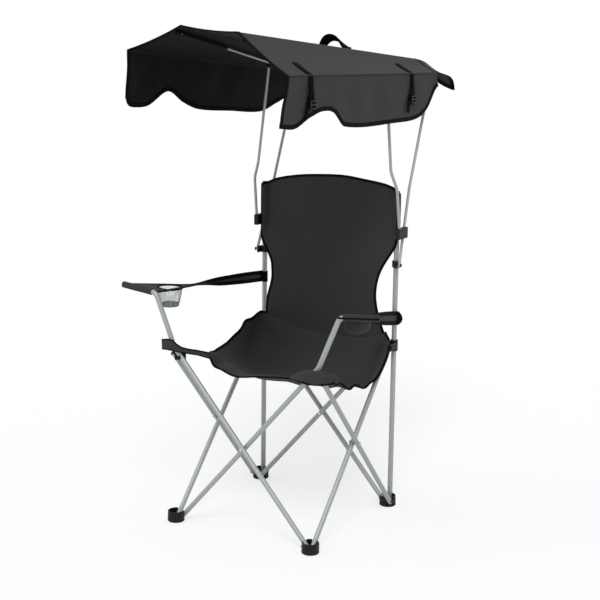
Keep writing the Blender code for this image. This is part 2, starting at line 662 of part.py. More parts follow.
def hub(name, side, cross_plane):
    """Corner bracket that pins the top of a side leg to a front leg."""
    leg_y, leg_x = -cross_plane, side * SIDE_PLANE_OUTER
    pivot_x, pivot_y = side * PIVOT_SPREAD, -PIVOT_SPREAD
    beside = LEG_RADIUS + CLEARANCE
    plate_y = leg_y + beside
    plate_x = leg_x - side * beside
    low, high = HUB_HEIGHT - HUB_PLATE_RISE, HUB_HEIGHT + HUB_PLATE_RISE
    far_x, wing_x = pivot_x - side * PLATE_REACH, plate_x - side * PLATE
    wing_front, wing_back = pivot_y - PLATE_REACH, pivot_y + PLATE_REACH
    outline = [(far_x, plate_y), (wing_x, plate_y), (wing_x, wing_front), (plate_x, wing_front)]
    if wing_back > plate_y + PLATE * 2.0:
        outline += [(plate_x, wing_back), (wing_x, wing_back), (wing_x, plate_y + PLATE)]
    else:
        outline.append((plate_x, plate_y + PLATE))
    outline.append((far_x, plate_y + PLATE))
    bracket = add_object(name, prism_mesh(name, outline, low, high), moulded())
    bevel_edges(bracket, PLATE * PLATE_ROUND_SHARE)
    pins = cylinders_mesh(name + "_pins", [
        (Vector((pivot_x, plate_y + PLATE / 2.0, HUB_HEIGHT)),
         Vector((pivot_x, leg_y - beside - PIN_HEAD / 2.0, HUB_HEIGHT)), PIN_RADIUS),
        (Vector((plate_x - side * PLATE / 2.0, pivot_y, HUB_HEIGHT)),
         Vector((leg_x + side * (beside + PIN_HEAD / 2.0), pivot_y, HUB_HEIGHT)), PIN_RADIUS)], 12)
    boolean(bracket, add_cutter(name + "_pins", pins), "UNION")
    heads = cylinders_mesh(name + "_heads", [
        (Vector((pivot_x, leg_y - beside, HUB_HEIGHT)),
         Vector((pivot_x, leg_y - beside - PIN_HEAD, HUB_HEIGHT)), PIN_HEAD_RADIUS),
        (Vector((leg_x + side * beside, pivot_y, HUB_HEIGHT)),
         Vector((leg_x + side * (beside + PIN_HEAD), pivot_y, HUB_HEIGHT)), PIN_HEAD_RADIUS)], 12)
    boolean(bracket, add_cutter(name + "_heads", heads), "UNION")
    return bracket


def slider(name, side, cross_plane):
    """Sleeve on an upright with a lug for each of the two legs it carries."""
    axis = upright_axis(side)
    leg_y, leg_x = cross_plane, side * SIDE_PLANE_INNER
    pivot_x, pivot_y = side * PIVOT_SPREAD, PIVOT_SPREAD
    beside = LEG_RADIUS + CLEARANCE
    bore = UPRIGHT_RADIUS + SLEEVE_GAP
    outside = bore + SLEEVE_WALL
    half = SLEEVE_HEIGHT / 2.0
    level = Vector((0.0, 0.0, HUB_HEIGHT))
    rise = Vector((0.0, 0.0, half))
    sleeve = add_object(name, cylinders_mesh(name, [(axis + level - rise, axis + level + rise, outside)],
                                             20), moulded())
    smooth(sleeve.data)
    low, high = HUB_HEIGHT - PLATE_REACH, HUB_HEIGHT + PLATE_REACH
    plate_y, plate_x = leg_y + beside, leg_x + side * beside
    inner_x, outer_x = pivot_x - side * PLATE_REACH, side * (FOOT_SPREAD - UPRIGHT_RADIUS)
    web_x = outer_x - side * PLATE * WEB_SHARE
    cross_lug = prism_mesh(name + "_cross_lug", [
        (inner_x, plate_y), (outer_x, plate_y), (outer_x, axis.y), (web_x, axis.y),
        (web_x, plate_y + PLATE), (inner_x, plate_y + PLATE)], low, high)
    boolean(sleeve, add_cutter(name + "_cross_lug", cross_lug), "UNION")
    wing = sorted((plate_x, plate_x + side * PLATE))
    side_lug = boxes_mesh(name + "_side_lug", [((wing[0], pivot_y - PLATE_REACH, low),
                                                (wing[1], axis.y, high))])
    boolean(sleeve, add_cutter(name + "_side_lug", side_lug), "UNION")
    drill = cylinders_mesh(name + "_bore", [(axis + level - rise * 2.0, axis + level + rise * 2.0, bore)], 20)
    boolean(sleeve, add_cutter(name + "_bore", drill), "DIFFERENCE")
    pins = cylinders_mesh(name + "_pins", [
        (Vector((pivot_x, plate_y + PLATE / 2.0, HUB_HEIGHT)),
         Vector((pivot_x, leg_y - beside - PIN_HEAD / 2.0, HUB_HEIGHT)), PIN_RADIUS),
        (Vector((plate_x + side * PLATE / 2.0, pivot_y, HUB_HEIGHT)),
         Vector((leg_x - side * (LEG_RADIUS - LEG_WALL / 2.0), pivot_y, HUB_HEIGHT)), PIN_RADIUS)], 12)
    boolean(sleeve, add_cutter(name + "_pins", pins), "UNION")
    heads = cylinders_mesh(name + "_heads", [
        (Vector((pivot_x, leg_y - beside, HUB_HEIGHT)),
         Vector((pivot_x, leg_y - beside - PIN_HEAD, HUB_HEIGHT)), PIN_HEAD_RADIUS),
        (Vector((plate_x + side * PLATE / 2.0, pivot_y, HUB_HEIGHT)),
         Vector((plate_x + side * (PLATE + PIN_HEAD), pivot_y, HUB_HEIGHT)), PIN_HEAD_RADIUS)], 12)
    boolean(sleeve, add_cutter(name + "_heads", heads), "UNION")
    return sleeve


def hubs_and_sliders():
    hub("front_left_hub", LEFT, PLANE_FAR)
    hub("front_right_hub", RIGHT, PLANE_NEAR)
    slider("rear_left_slider", LEFT, PLANE_FAR)
    slider("rear_right_slider", RIGHT, PLANE_NEAR)


# Canopy side frames

def rail_ends(side, word):
    rear = from_clamp(side, *REAR_POLE_TOP) + Vector((0.0, 0.0, JOINT_BODY))
    front = from_clamp(side, *RAIL_FRONT[word])
    return rear, front


def rail_point(side, word, y):
    rear, front = rail_ends(side, word)
    return rear.lerp(front, (y - rear.y) / (front.y - rear.y))


def from_clamp(side, out, back, rise):
    """Place of a point given from the upright's axis at the clamp."""
    axis = upright_axis(side)
    return Vector((axis.x + side * out, axis.y + back, CLAMP_HEIGHT + rise))


def tee(name, at, along, pole_point, pole_along):
    """Moulded joint: a sleeve on the rail over a socket for a pole's end."""
    at, pole_point = Vector(at), Vector(pole_point)
    reach = along * JOINT_BODY
    body = add_object(name, cylinders_mesh(name, [(at - reach, at + reach, RAIL_RADIUS + JOINT_WALL)], 14),
                      moulded())
    smooth(body.data)
    socket = cylinders_mesh(name + "_socket", [
        (pole_point - pole_along * SOCKET_DEPTH, at, POLE_RADIUS + JOINT_WALL)], 14)
    boolean(body, add_cutter(name + "_socket", socket), "UNION")
    rail_hole = cylinders_mesh(name + "_rail_hole", [(at - reach * 2.0, at + reach * 2.0,
                                                      RAIL_RADIUS + CLEARANCE)], 14)
    boolean(body, add_cutter(name + "_rail_hole", rail_hole), "DIFFERENCE")
    pole_hole = cylinders_mesh(name + "_pole_hole", [
        (pole_point - pole_along * SOCKET_DEPTH * 2.0, pole_point + pole_along * CLEARANCE,
         POLE_RADIUS + CLEARANCE)], 14)
    boolean(body, add_cutter(name + "_pole_hole", pole_hole), "DIFFERENCE")
    return body


def clamp(name, side):
    """Ring on the upright with a lug and pin for the rear pole's foot."""
    axis = upright_axis(side)
    level = Vector((0.0, 0.0, CLAMP_HEIGHT))
    half = Vector((0.0, 0.0, CLAMP_RING / 2.0))
    bore = UPRIGHT_RADIUS + SLEEVE_GAP
    ring = add_object(name, cylinders_mesh(name, [(axis + level - half, axis + level + half,
                                                   bore + SLEEVE_WALL)], 20), moulded())
    smooth(ring.data)
    pivot = from_clamp(side, *POLE_PIVOT, 0.0)
    near = pivot.x - side * (POLE_RADIUS + POLE_SIDE_GAP)
    lug_x = sorted((near, near - side * PLATE))
    lug = boxes_mesh(name + "_lug", [
        ((lug_x[0], pivot.y - CLAMP_RING / 2.0, CLAMP_HEIGHT - CLAMP_RING / 2.0),
         (lug_x[1], axis.y + PLATE, CLAMP_HEIGHT + CLAMP_RING / 2.0))])
    boolean(ring, add_cutter(name + "_lug", lug), "UNION")
    drill = cylinders_mesh(name + "_bore", [(axis + level - half * 2.0, axis + level + half * 2.0, bore)], 20)
    boolean(ring, add_cutter(name + "_bore", drill), "DIFFERENCE")
    out = Vector((side, 0.0, 0.0))
    start = Vector((near, pivot.y, pivot.z)) - out * (PLATE / 2.0)
    shoulder = pivot + out * (POLE_RADIUS + CLEARANCE)
    pin = cylinders_mesh(name + "_pin", [(start, shoulder + out * (PIN_HEAD / 2.0), POLE_PIN_RADIUS)], 12)
    boolean(ring, add_cutter(name + "_pin", pin), "UNION")
    head = cylinders_mesh(name + "_head", [(shoulder, shoulder + out * PIN_HEAD, PIN_HEAD_RADIUS)], 12)
    boolean(ring, add_cutter(name + "_head", head), "UNION")
    return ring


def snap_clip(name, side, front_pole, rear_pole):
    """Block on both poles whose open hook snaps round the back of the upright."""
    axis = upright_axis(side)
    bore = UPRIGHT_RADIUS + SLEEVE_GAP
    depth, width, height = CLIP_BLOCK
    near = side * (FOOT_SPREAD + bore + CLEARANCE)
    block_x = sorted((near, near + side * depth))
    middle_y = (front_pole[0].y + rear_pole(CLIP_HEIGHT).y) / 2.0
    block = add_object(name, boxes_mesh(name, [
        ((block_x[0], middle_y - width / 2.0, CLIP_HEIGHT - height / 2.0),
         (block_x[1], middle_y + width / 2.0, CLIP_HEIGHT + height / 2.0))]), moulded())
    bevel_edges(block, CLIP_ROUND)
    level = Vector((0.0, 0.0, CLIP_HEIGHT))
    half = Vector((0.0, 0.0, height / 2.0 - CLIP_ROUND - CLEARANCE))
    hook = cylinders_mesh(name + "_hook", [(axis + level - half, axis + level + half,
                                            bore + SLEEVE_WALL)], 20)
    boolean(block, add_cutter(name + "_hook", hook), "UNION")
    mouth_x = sorted((axis.x - side * (bore + SLEEVE_WALL * 2.0), axis.x + side * UPRIGHT_RADIUS))
    mouth = boxes_mesh(name + "_mouth", [
        ((mouth_x[0], axis.y - bore * 2.0, CLIP_HEIGHT - height),
         (mouth_x[1], axis.y - CLEARANCE, CLIP_HEIGHT + height))])
    boolean(block, add_cutter(name + "_mouth", mouth), "DIFFERENCE")
    drill = cylinders_mesh(name + "_bore", [(axis + level - half * 2.0, axis + level + half * 2.0, bore)], 20)
    boolean(block, add_cutter(name + "_bore", drill), "DIFFERENCE")
    foot_at, along = front_pole
    below = foot_at - along * CLEARANCE
    poles = cylinders_mesh(name + "_poles", [
        (below, below + along * height * 2.0, POLE_RADIUS + CLEARANCE),
        (rear_pole(CLIP_HEIGHT - height), rear_pole(CLIP_HEIGHT + height), POLE_RADIUS + CLEARANCE)], 14)
    boolean(block, add_cutter(name + "_poles", poles), "DIFFERENCE")
    return block


def canopy_frame(side, word):
    """Two poles, their rail, and the mouldings that join them."""
    rear, front = rail_ends(side, word)
    along = (front - rear).normalized()
    bar(word + "_canopy_rail", [rear - along * JOINT_BODY, front], RAIL_RADIUS, steel())
    plug_cap(word + "_rail_tip", front, along)
    pivot = from_clamp(side, *POLE_PIVOT, 0.0)
    bend = from_clamp(side, *REAR_POLE_BEND)
    top_rail = rear
    toward = (bend - top_rail).normalized()
    top = top_rail + toward * (RAIL_RADIUS + JOINT_WALL / 2.0 + CLEARANCE)
    foot_point = pivot - (bend - pivot).normalized() * LEG_END * POLE_END_SHARE
    path = fillet_path([foot_point, bend, top], [POLE_BEND])
    pole = bar(word + "_rear_pole", path, POLE_RADIUS, steel())
    reach = POLE_RADIUS * 2.0
    hole = cylinders_mesh(word + "_rear_pole_hole", [
        (pivot - AXIS_X * reach, pivot + AXIS_X * reach, POLE_PIN_RADIUS + CLEARANCE)], 8)
    boolean(pole, add_cutter(word + "_rear_pole_hole", hole), "DIFFERENCE")
    tee(word + "_rear_rail_joint", top_rail, along, top, (top - bend).normalized())

    knee = from_clamp(side, *FRONT_POLE_KNEE)
    head_rail = rail_point(side, word, upright_axis(side).y + FRONT_POLE_TOP_BACK)
    rise = (head_rail - knee).normalized()
    head = head_rail - rise * (RAIL_RADIUS + JOINT_WALL / 2.0 + CLEARANCE)
    foot_at = from_clamp(side, *FRONT_POLE_FOOT, CLIP_RISE)
    elbow = from_clamp(side, *FRONT_POLE_ELBOW)
    lean = (elbow - foot_at).normalized()
    path = fillet_path([foot_at, elbow, knee, head], [POLE_BEND, POLE_BEND])
    bar(word + "_front_pole", path, POLE_RADIUS, steel())
    tee(word + "_front_rail_joint", head_rail, along, head, rise)

    def rear_pole_at(height):
        return pivot.lerp(bend, (height - pivot.z) / (bend.z - pivot.z))

    clamp(word + "_canopy_clamp", side)
    snap_clip(word + "_canopy_snap_clip", side, (foot_at, lean), rear_pole_at)


def plug_cap(name, at, along):
    """Rounded cap on the rail's front end."""
    bm = bmesh.new()
    inner = at - along * CAP_LENGTH
    outer = at + along * CAP_LIP
    put_cylinder(bm, inner, outer, RAIL_RADIUS + CAP_LIP, 14)
    cap = add_object(name, mesh_from(bm, name), moulded())
    smooth(cap.data)
    hole = cylinders_mesh(name + "_hole", [(inner - along * CAP_LENGTH, at + along * CLEARANCE,
                                            RAIL_RADIUS + CLEARANCE)], 14)
    boolean(cap, add_cutter(name + "_hole", hole), "DIFFERENCE")
    return cap


def canopy_frames():
    canopy_frame(LEFT, "left")
    canopy_frame(RIGHT, "right")


# Cloth: every sheet is a grid of points with a thickness

def curve_value(knots, at):
    """Smooth value at a place between the knots of a table."""
    places = [k[0] for k in knots]
    values = [k[1] for k in knots]
    if at <= places[0]:
        return values[0]
    if at >= places[-1]:
        return values[-1]
    i = max(k for k in range(len(places) - 1) if places[k] <= at)
    span = places[i + 1] - places[i]

    def slope(k):
        before, after = max(k - 1, 0), min(k + 1, len(places) - 1)
        return (values[after] - values[before]) / (places[after] - places[before])

    t = (at - places[i]) / span
    start = (1.0 + 2.0 * t) * (1.0 - t) ** 2 * values[i] + t * (1.0 - t) ** 2 * span * slope(i)
    return start + t * t * (3.0 - 2.0 * t) * values[i + 1] + t * t * (t - 1.0) * span * slope(i + 1)


def share_steps(count):
    return [i / (count - 1) for i in range(count)]


def sheet(name, rows, thickness, material):
    """Closed thin solid through a grid of points."""
    bm = bmesh.new()
    grid = [[bm.verts.new(point) for point in row] for row in rows]
    for lower, upper in zip(grid, grid[1:]):
        for i in range(len(lower) - 1):
            bm.faces.new((lower[i], lower[i + 1], upper[i + 1], upper[i]))
    mesh = mesh_from(bm, name)
    mesh.shade_smooth()
    made = add_object(name, mesh, material)
    shell = made.modifiers.new("thickness", "SOLIDIFY")
    shell.thickness = thickness
    shell.offset = 0.0
    shell.use_even_offset = True
    return made


def table_value(places, values, at):
    return curve_value(list(zip(places, values)), at)


def back_share(height):
    """Share of the way up from the sliders to the sleeves of the back."""
    return (height - HUB_HEIGHT) / (BACK_SLEEVE_END - HUB_HEIGHT)


def back_half_width(height):
    return FOOT_SPREAD - table_value(BACK_EDGE_SHARES, BACK_EDGE_INSET, back_share(height))


def back_place(height):
    """How far back the panel lies at a height, along Y."""
    offset = table_value(BACK_DEPTH_SHARES, BACK_DEPTH, back_share(height))
    return FOOT_SPREAD + UPRIGHT_BACK + offset


def back_top(across):
    return UPRIGHT_TOP + table_value(BACK_TOP_SHARES, BACK_TOP_RISE, across)


def back_panel():
    """Back of the sling, with a sewn sleeve over the top of each upright."""
    rows = []
    for v in share_steps(BACK_ROWS):
        row = []
        for u in share_steps(BACK_COLUMNS):
            across = 2.0 * u - 1.0
            top = back_top(across)
            bottom = seat_rear(across).z + SEAM_GAP + SLING_THICKNESS
            height = bottom + (top - bottom) * v
            edge_top = back_top(math.copysign(1.0, across))
            edge_height = seat_rear(1.0).z + (edge_top - seat_rear(1.0).z) * v
            hollow = table_value(BACK_HOLLOW_SHARES, BACK_HOLLOW, v) * (1.0 - across * across)
            row.append((across * back_half_width(edge_height), back_place(height) + hollow, height))
        rows.append(row)
    panel = sheet("back_panel", rows, SLING_THICKNESS, cloth())
    for side, word in ((LEFT, "left"), (RIGHT, "right")):
        axis = upright_axis(side)
        bore = UPRIGHT_RADIUS + SLEEVE_GAP
        lid = UPRIGHT_TOP + CLEARANCE * 2.0 + CAP_LIP
        outer = cylinders_mesh(word + "_back_sleeve", [
            (axis + Vector((0.0, 0.0, BACK_SLEEVE_END)),
             axis + Vector((0.0, 0.0, lid + SLING_THICKNESS)), bore + SLING_THICKNESS)], 16)
        inner = cylinders_mesh(word + "_back_sleeve_bore", [
            (axis + Vector((0.0, 0.0, BACK_SLEEVE_END - SLEEVE_HEIGHT)),
             axis + Vector((0.0, 0.0, lid)), bore)], 16)
        boolean(panel, add_cutter(word + "_back_sleeve", outer), "UNION")
        boolean(panel, add_cutter(word + "_back_sleeve_bore", inner), "DIFFERENCE")
    return panel


def wall_section(across):
    """Place across and rise of a section with a flat floor and upright walls."""
    turn = abs(across) * math.pi / 2.0
    size = math.sin(turn) ** SEAT_WALL_POWER + math.cos(turn) ** SEAT_WALL_POWER
    reach = size ** (-1.0 / SEAT_WALL_POWER)
    return math.copysign(reach * math.sin(turn), across), 1.0 - reach * math.cos(turn)


def seat_surface(across, y):
    """Point of the seat: low along its middle, high along its sides."""
    middle = curve_value(SEAT_MIDDLE, y)
    edge = curve_value(SEAT_EDGE, y)
    rise = abs(across) ** table_value(SEAT_CURVE_LINES, SEAT_CURVE_SHARES, y)
    wall = table_value(SEAT_WALL_LINES, SEAT_WALL_SHARES, y)
    wall_across, wall_rise = wall_section(across)
    place = across + (wall_across - across) * wall
    rise += (wall_rise - rise) * wall
    half_width = FOOT_SPREAD - curve_value(SEAT_INSET, y)
    return Vector((place * half_width, y, HUB_HEIGHT + middle + (edge - middle) * rise))


def seat_rear(across):
    return seat_surface(across, SEAT_REAR)


def seat_panel():
    """Seat of the sling, with a tab at each corner to its bracket."""
    rows = []
    for y in SEAT_LINES:
        rows.append([seat_surface(across, y) for across in SEAT_COLUMN_SHARES])
    panel = sheet("seat_panel", rows, SLING_THICKNESS, cloth())
    for side, word, plane in ((LEFT, "left", PLANE_FAR), (RIGHT, "right", PLANE_NEAR)):
        lug_back = -plane + LEG_RADIUS + CLEARANCE + PLATE
        low_x, high_x = sorted((side * FRONT_TAB[0], side * FRONT_TAB[1]))
        tab = boxes_mesh(word + "_front_tab", [
            ((low_x, lug_back + SEATED_GAP, HUB_HEIGHT + FRONT_TAB_RISE[0]),
             (high_x, max(lug_back, SEAT_LINES[0]) + FRONT_TAB_LENGTH, HUB_HEIGHT + FRONT_TAB_RISE[1]))])
        boolean(panel, add_cutter(word + "_front_tab", tab), "UNION")
        low_x, high_x = sorted((side * REAR_TAB[0], side * REAR_TAB[1]))
        tab = boxes_mesh(word + "_rear_tab", [
            ((low_x, SEAT_REAR - SLING_THICKNESS / 2.0, HUB_HEIGHT + PLATE_REACH + SEATED_GAP * 2.0),
             (high_x, SEAT_REAR + SLING_THICKNESS / 2.0, seat_rear(1.0).z))])
        boolean(panel, add_cutter(word + "_rear_tab", tab), "UNION")
    return panel


# Arms: a sleeve over the arm bar, a tapered sheet and a band to the upright

def arm_bar_line(side, plane):
    high = front_point(side * PIVOT_SPREAD, plane, HUB_HEIGHT)
    low = front_point(-side * PIVOT_SPREAD, plane, PIVOT_HEIGHT)
    along = (high - low).normalized()
    post = Vector((side * math.sin(POST_LEAN), 0.0, math.cos(POST_LEAN)))
    level = Vector((side * math.cos(ARM_BAR_RISE), 0.0, math.sin(ARM_BAR_RISE)))
    bend = high + along * POST_START + post * POST_LENGTH
    return bend, bend + level * ARM_BAR_LENGTH, level


def arm_height(side, plane, x, y):
    """Height of the pad's sheet: along the bar in front, level behind."""
    bend, end, level = arm_bar_line(side, plane)
    front = bend.z + (abs(x) - abs(bend.x)) * math.tan(ARM_BAR_RISE)
    share = (y + plane) / (ARM_PLAN[-1][0] + plane)
    return front + (bend.z + ARM_PAD_REAR_RISE - front) * max(0.0, min(1.0, share))


def armrest(name, side, plane, rear_height):
    bend, end, level = arm_bar_line(side, plane)
    axis = upright_axis(side)
    rows = []
    for y, inner, outer in ARM_PLAN:
        rows.append([Vector((side * x, y, arm_height(side, plane, x, y)))
                     for x in (inner + (outer - inner) * u for u in share_steps(ARM_COLUMNS))])
    neck = rows[-1]
    middle = sum(neck, Vector()) / len(neck)
    loop_reach = UPRIGHT_RADIUS + SLEEVE_GAP + ARM_THICKNESS / 2.0
    band_end = Vector((axis.x + side * loop_reach, axis.y, rear_height))
    for v in share_steps(ARM_BAND_ROWS)[1:]:
        centre = middle.lerp(band_end, v)
        turn = min(1.0, v * ARM_TWIST_SHARE) * math.pi / 2.0
        half = ((neck[-1] - neck[0]).length / 2.0) * (1.0 - v) + ARM_SLEEVE_HEIGHT / 2.0 * v
        across = Vector((side * math.cos(turn), 0.0, math.sin(turn)))
        rows.append([centre + across * half * (2.0 * u - 1.0) for u in share_steps(ARM_COLUMNS)])
    pad = sheet(name, rows, ARM_THICKNESS, cloth())
    bore = LEG_RADIUS + SLEEVE_GAP
    start = bend + level * ARM_SLEEVE_START
    lid = end + level * (CLEARANCE * 2.0 + CAP_LIP)
    outer = cylinders_mesh(name + "_front_sleeve", [
        (start, lid + level * ARM_THICKNESS, bore + ARM_THICKNESS)], 16)
    boolean(pad, add_cutter(name + "_front_sleeve", outer), "UNION")
    rise = Vector((0.0, 0.0, ARM_SLEEVE_HEIGHT / 2.0))
    level_point = Vector((axis.x, axis.y, rear_height))
    upright_bore = UPRIGHT_RADIUS + SLEEVE_GAP
    loop = cylinders_mesh(name + "_loop", [
        (level_point - rise, level_point + rise, upright_bore + ARM_THICKNESS)], 16)
    boolean(pad, add_cutter(name + "_loop", loop), "UNION")
    inner = cylinders_mesh(name + "_front_bore", [
        (start - level * ARM_SLEEVE_HEIGHT, lid, bore)], 16)
    boolean(pad, add_cutter(name + "_front_bore", inner), "DIFFERENCE")
    drill = cylinders_mesh(name + "_loop_bore", [(level_point - rise * 2.0, level_point + rise * 2.0,
                                                  upright_bore)], 16)
    boolean(pad, add_cutter(name + "_loop_bore", drill), "DIFFERENCE")
    return pad


def cup_net():
    """Tapered net cup hung by its rim in a hole of the left pad."""
    x, y = CUP_CENTRE
    level = arm_height(LEFT, PLANE_FAR, x, y)
    hole = cylinders_mesh("cup_hole", [
        (Vector((-x, y, level - CUP_DEPTH)), Vector((-x, y, level + CUP_DEPTH)),
         CUP_RADIUS + CUP_HOLE_GAP)], CUP_SIDES)
    boolean(bpy.data.objects["left_armrest"], add_cutter("cup_hole", hole), "DIFFERENCE")
    bm = bmesh.new()
    lift = ARM_THICKNESS / 2.0 + CUP_WALL / 2.0 + SEATED_GAP
    rings = []
    floor = level - CUP_DEPTH
    for radius, drop in ((CUP_RADIUS + CUP_FLANGE, 0.0), (CUP_RADIUS, 0.0), (CUP_RADIUS, CUP_LIP_SHARE),
                         (CUP_MIDDLE_RADIUS, CUP_MIDDLE_SHARE), (CUP_FLOOR_RADIUS, 1.0)):
        ring = []
        for k in range(CUP_SIDES):
            angle = 2.0 * math.pi * k / CUP_SIDES
            px, py = -x + radius * math.cos(angle), y + radius * math.sin(angle)
            top = arm_height(LEFT, PLANE_FAR, px, py) + lift / math.cos(ARM_BAR_RISE)
            ring.append(bm.verts.new((px, py, top + (floor - top) * drop)))
        rings.append(ring)
    for upper, lower in zip(rings, rings[1:]):
        for k in range(CUP_SIDES):
            n = (k + 1) % CUP_SIDES
            bm.faces.new((upper[k], upper[n], lower[n], lower[k]))
    bm.faces.new(rings[-1])
    mesh = mesh_from(bm, "cup_holder_net")
    mesh.shade_smooth()
    net = add_object("cup_holder_net", mesh, netting())
    shell = net.modifiers.new("thickness", "SOLIDIFY")
    shell.thickness = CUP_WALL
    shell.offset = 0.0
    return net


def arm_pocket():
    """Flat pouch hung under the right pad, open along its top."""
    x, y = POUCH_CENTRE
    half_x, half_y = POUCH_HALF
    under = ARM_THICKNESS / 2.0 / math.cos(ARM_BAR_RISE) + SEATED_GAP
    bm = bmesh.new()
    outer = []
    for dx, dy in ((-half_x, -half_y), (half_x, -half_y), (half_x, half_y), (-half_x, half_y)):
        outer.append((x + dx, y + dy))
    bend = arm_bar_line(RIGHT, PLANE_NEAR)[0]
    low = bend.z - POUCH_DEPTH
    bottom = [bm.verts.new((px + (x - px) * POUCH_TAPER_SHARE, py + (y - py) * POUCH_TAPER_SHARE, low))
              for px, py in outer]
    top = [bm.verts.new((px, py, arm_height(RIGHT, PLANE_NEAR, px, py) - under)) for px, py in outer]
    bm.faces.new(bottom)
    bm.faces.new(top)
    for i in range(4):
        j = (i + 1) % 4
        bm.faces.new((bottom[i], bottom[j], top[j], top[i]))
    pouch = add_object("right_arm_pocket", mesh_from(bm, "right_arm_pocket"), cloth())
    wall = ARM_THICKNESS
    shrink_x, shrink_y = half_x - wall, half_y - wall
    cut = bmesh.new()
    corners = [(x - shrink_x, y - shrink_y), (x + shrink_x, y - shrink_y),
               (x + shrink_x, y + shrink_y), (x - shrink_x, y + shrink_y)]
    deep = [cut.verts.new((px + (x - px) * POUCH_TAPER_SHARE, py + (y - py) * POUCH_TAPER_SHARE,
                           low + wall)) for px, py in corners]
    over = [cut.verts.new((px, py, bend.z + half_x * 2.0)) for px, py in corners]
    cut.faces.new(deep)
    cut.faces.new(over)
    for i in range(4):
        j = (i + 1) % 4
        cut.faces.new((deep[i], deep[j], over[j], over[i]))
    boolean(pouch, add_cutter("pouch_room", mesh_from(cut, "pouch_room")), "DIFFERENCE")
    return pouch


# Canopy cover

def section(y):
    """Corners of the cover across the chair: ridges, folds and their heights."""
    t = (y - COVER_FRONT) / (COVER_REAR - COVER_FRONT)

    def mix(front, rear):
        return front + (rear - front) * t

    ridges = [(mix(RIDGE_FRONT[k], RIDGE_REAR[k]),
               CLAMP_HEIGHT + mix(RIDGE_FRONT_RISE[k], RIDGE_REAR_RISE[k])) for k in (0, 1)]
    folds = [(-COVER_FOLD, CLAMP_HEIGHT + mix(FOLD_FRONT_RISE[0], FOLD_REAR_RISE[0])),
             (COVER_FOLD, CLAMP_HEIGHT + mix(FOLD_FRONT_RISE[1], FOLD_REAR_RISE[1]))]
    return [folds[0], ridges[0], ridges[1], folds[1]]


def slack_share(t, columns):
    """Slack of the cloth at a share of a span, straight between its columns."""
    pieces = columns - 1
    low = min(int(t * pieces), pieces - 1)
    ends = [4.0 * (k / pieces) * (1.0 - k / pieces) for k in (low, low + 1)]
    return ends[0] + (ends[1] - ends[0]) * (t * pieces - low)


def roof_height(x, y):
    """Height of the cover's middle surface above a place on the ground."""
    corners = section(y)
    for (x0, z0), (x1, z1), columns in zip(corners, corners[1:], ROOF_SPAN_COLUMNS):
        if x0 <= x <= x1:
            t = (x - x0) / (x1 - x0)
            return z0 + (z1 - z0) * t - ROOF_SAG * slack_share(t, columns)
    return corners[0][1] if x < corners[0][0] else corners[-1][1]


def roof_point(x, y):
    return Vector((x, y, roof_height(x, y)))


def hem_lean(index, y, share):
    """How far a hem's front end leans forward towards its lower corner."""
    near_front = max(0.0, 1.0 - (y - COVER_FRONT) / HEM_LEAN_REACH)
    return HEM_LEAN[index] * near_front * (1.0 - share)


def canopy_cover():
    """Roof with a folded hem down each side, cut to scallops."""
    rows = []
    for y in COVER_LINES:
        corners = section(y)
        left_bottom = CLAMP_HEIGHT + curve_value(LEFT_HEM, y)
        right_bottom = CLAMP_HEIGHT + curve_value(RIGHT_HEM, y)
        row = []
        for s in VALANCE_STEP_SHARES:
            row.append(Vector((-COVER_FOLD - VALANCE_FLARE * (1.0 - s), y - hem_lean(0, y, s),
                               left_bottom + (corners[0][1] - left_bottom) * s)))
        spans = list(zip(corners, corners[1:]))
        for k, ((x0, z0), (x1, z1)) in enumerate(spans):
            steps = share_steps(ROOF_SPAN_COLUMNS[k])
            for t in steps[1:]:
                row.append(roof_point(x0 + (x1 - x0) * t, y))
        for s in reversed(VALANCE_STEP_SHARES[:-1]):
            row.append(Vector((COVER_FOLD + VALANCE_FLARE * (1.0 - s), y - hem_lean(1, y, s),
                               right_bottom + (corners[3][1] - right_bottom) * s)))
        rows.append(row)
    return sheet("canopy_cover", rows, COVER_THICKNESS, cloth())


def rear_flap():
    """Flap sewn to the cover's rear edge, folded down along its end."""
    rows = []
    for reach, drop in FLAP_PROFILE:
        row = []
        for u in share_steps(FLAP_COLUMNS):
            x = (2.0 * u - 1.0) * (COVER_FOLD + FLAP_FLARE * reach / FLAP_LENGTH)
            base = roof_height(max(-COVER_FOLD, min(COVER_FOLD, x)), COVER_REAR)
            level = base - drop
            row.append(Vector((x, COVER_REAR + SEAM_GAP + reach, level)))
        rows.append(row)
    return sheet("canopy_rear_flap", rows, COVER_THICKNESS, cloth())


def carry_handle():
    """Webbing loop that stands on the roof between its two sewn feet."""
    x, y = HANDLE_PLACE
    lift = COVER_THICKNESS / 2.0 + WEBBING / 2.0 + SEATED_GAP
    foot_left, foot_right = HANDLE_PROFILE[1][0], HANDLE_PROFILE[-2][0]
    rows = []
    for offset, height in HANDLE_PROFILE:
        row = []
        for u in share_steps(3):
            edge_y = y + HANDLE_WIDTH * (2.0 * u - 1.0) / 2.0
            ground = roof_height(x + offset, edge_y)
            if height:
                t = (offset - foot_left) / (foot_right - foot_left)
                left, right = roof_height(x + foot_left, edge_y), roof_height(x + foot_right, edge_y)
                ground = left + (right - left) * t
            row.append(Vector((x + offset, edge_y, ground + lift + height)))
        rows.append(row)
    return sheet("carry_handle", rows, WEBBING, webbing())


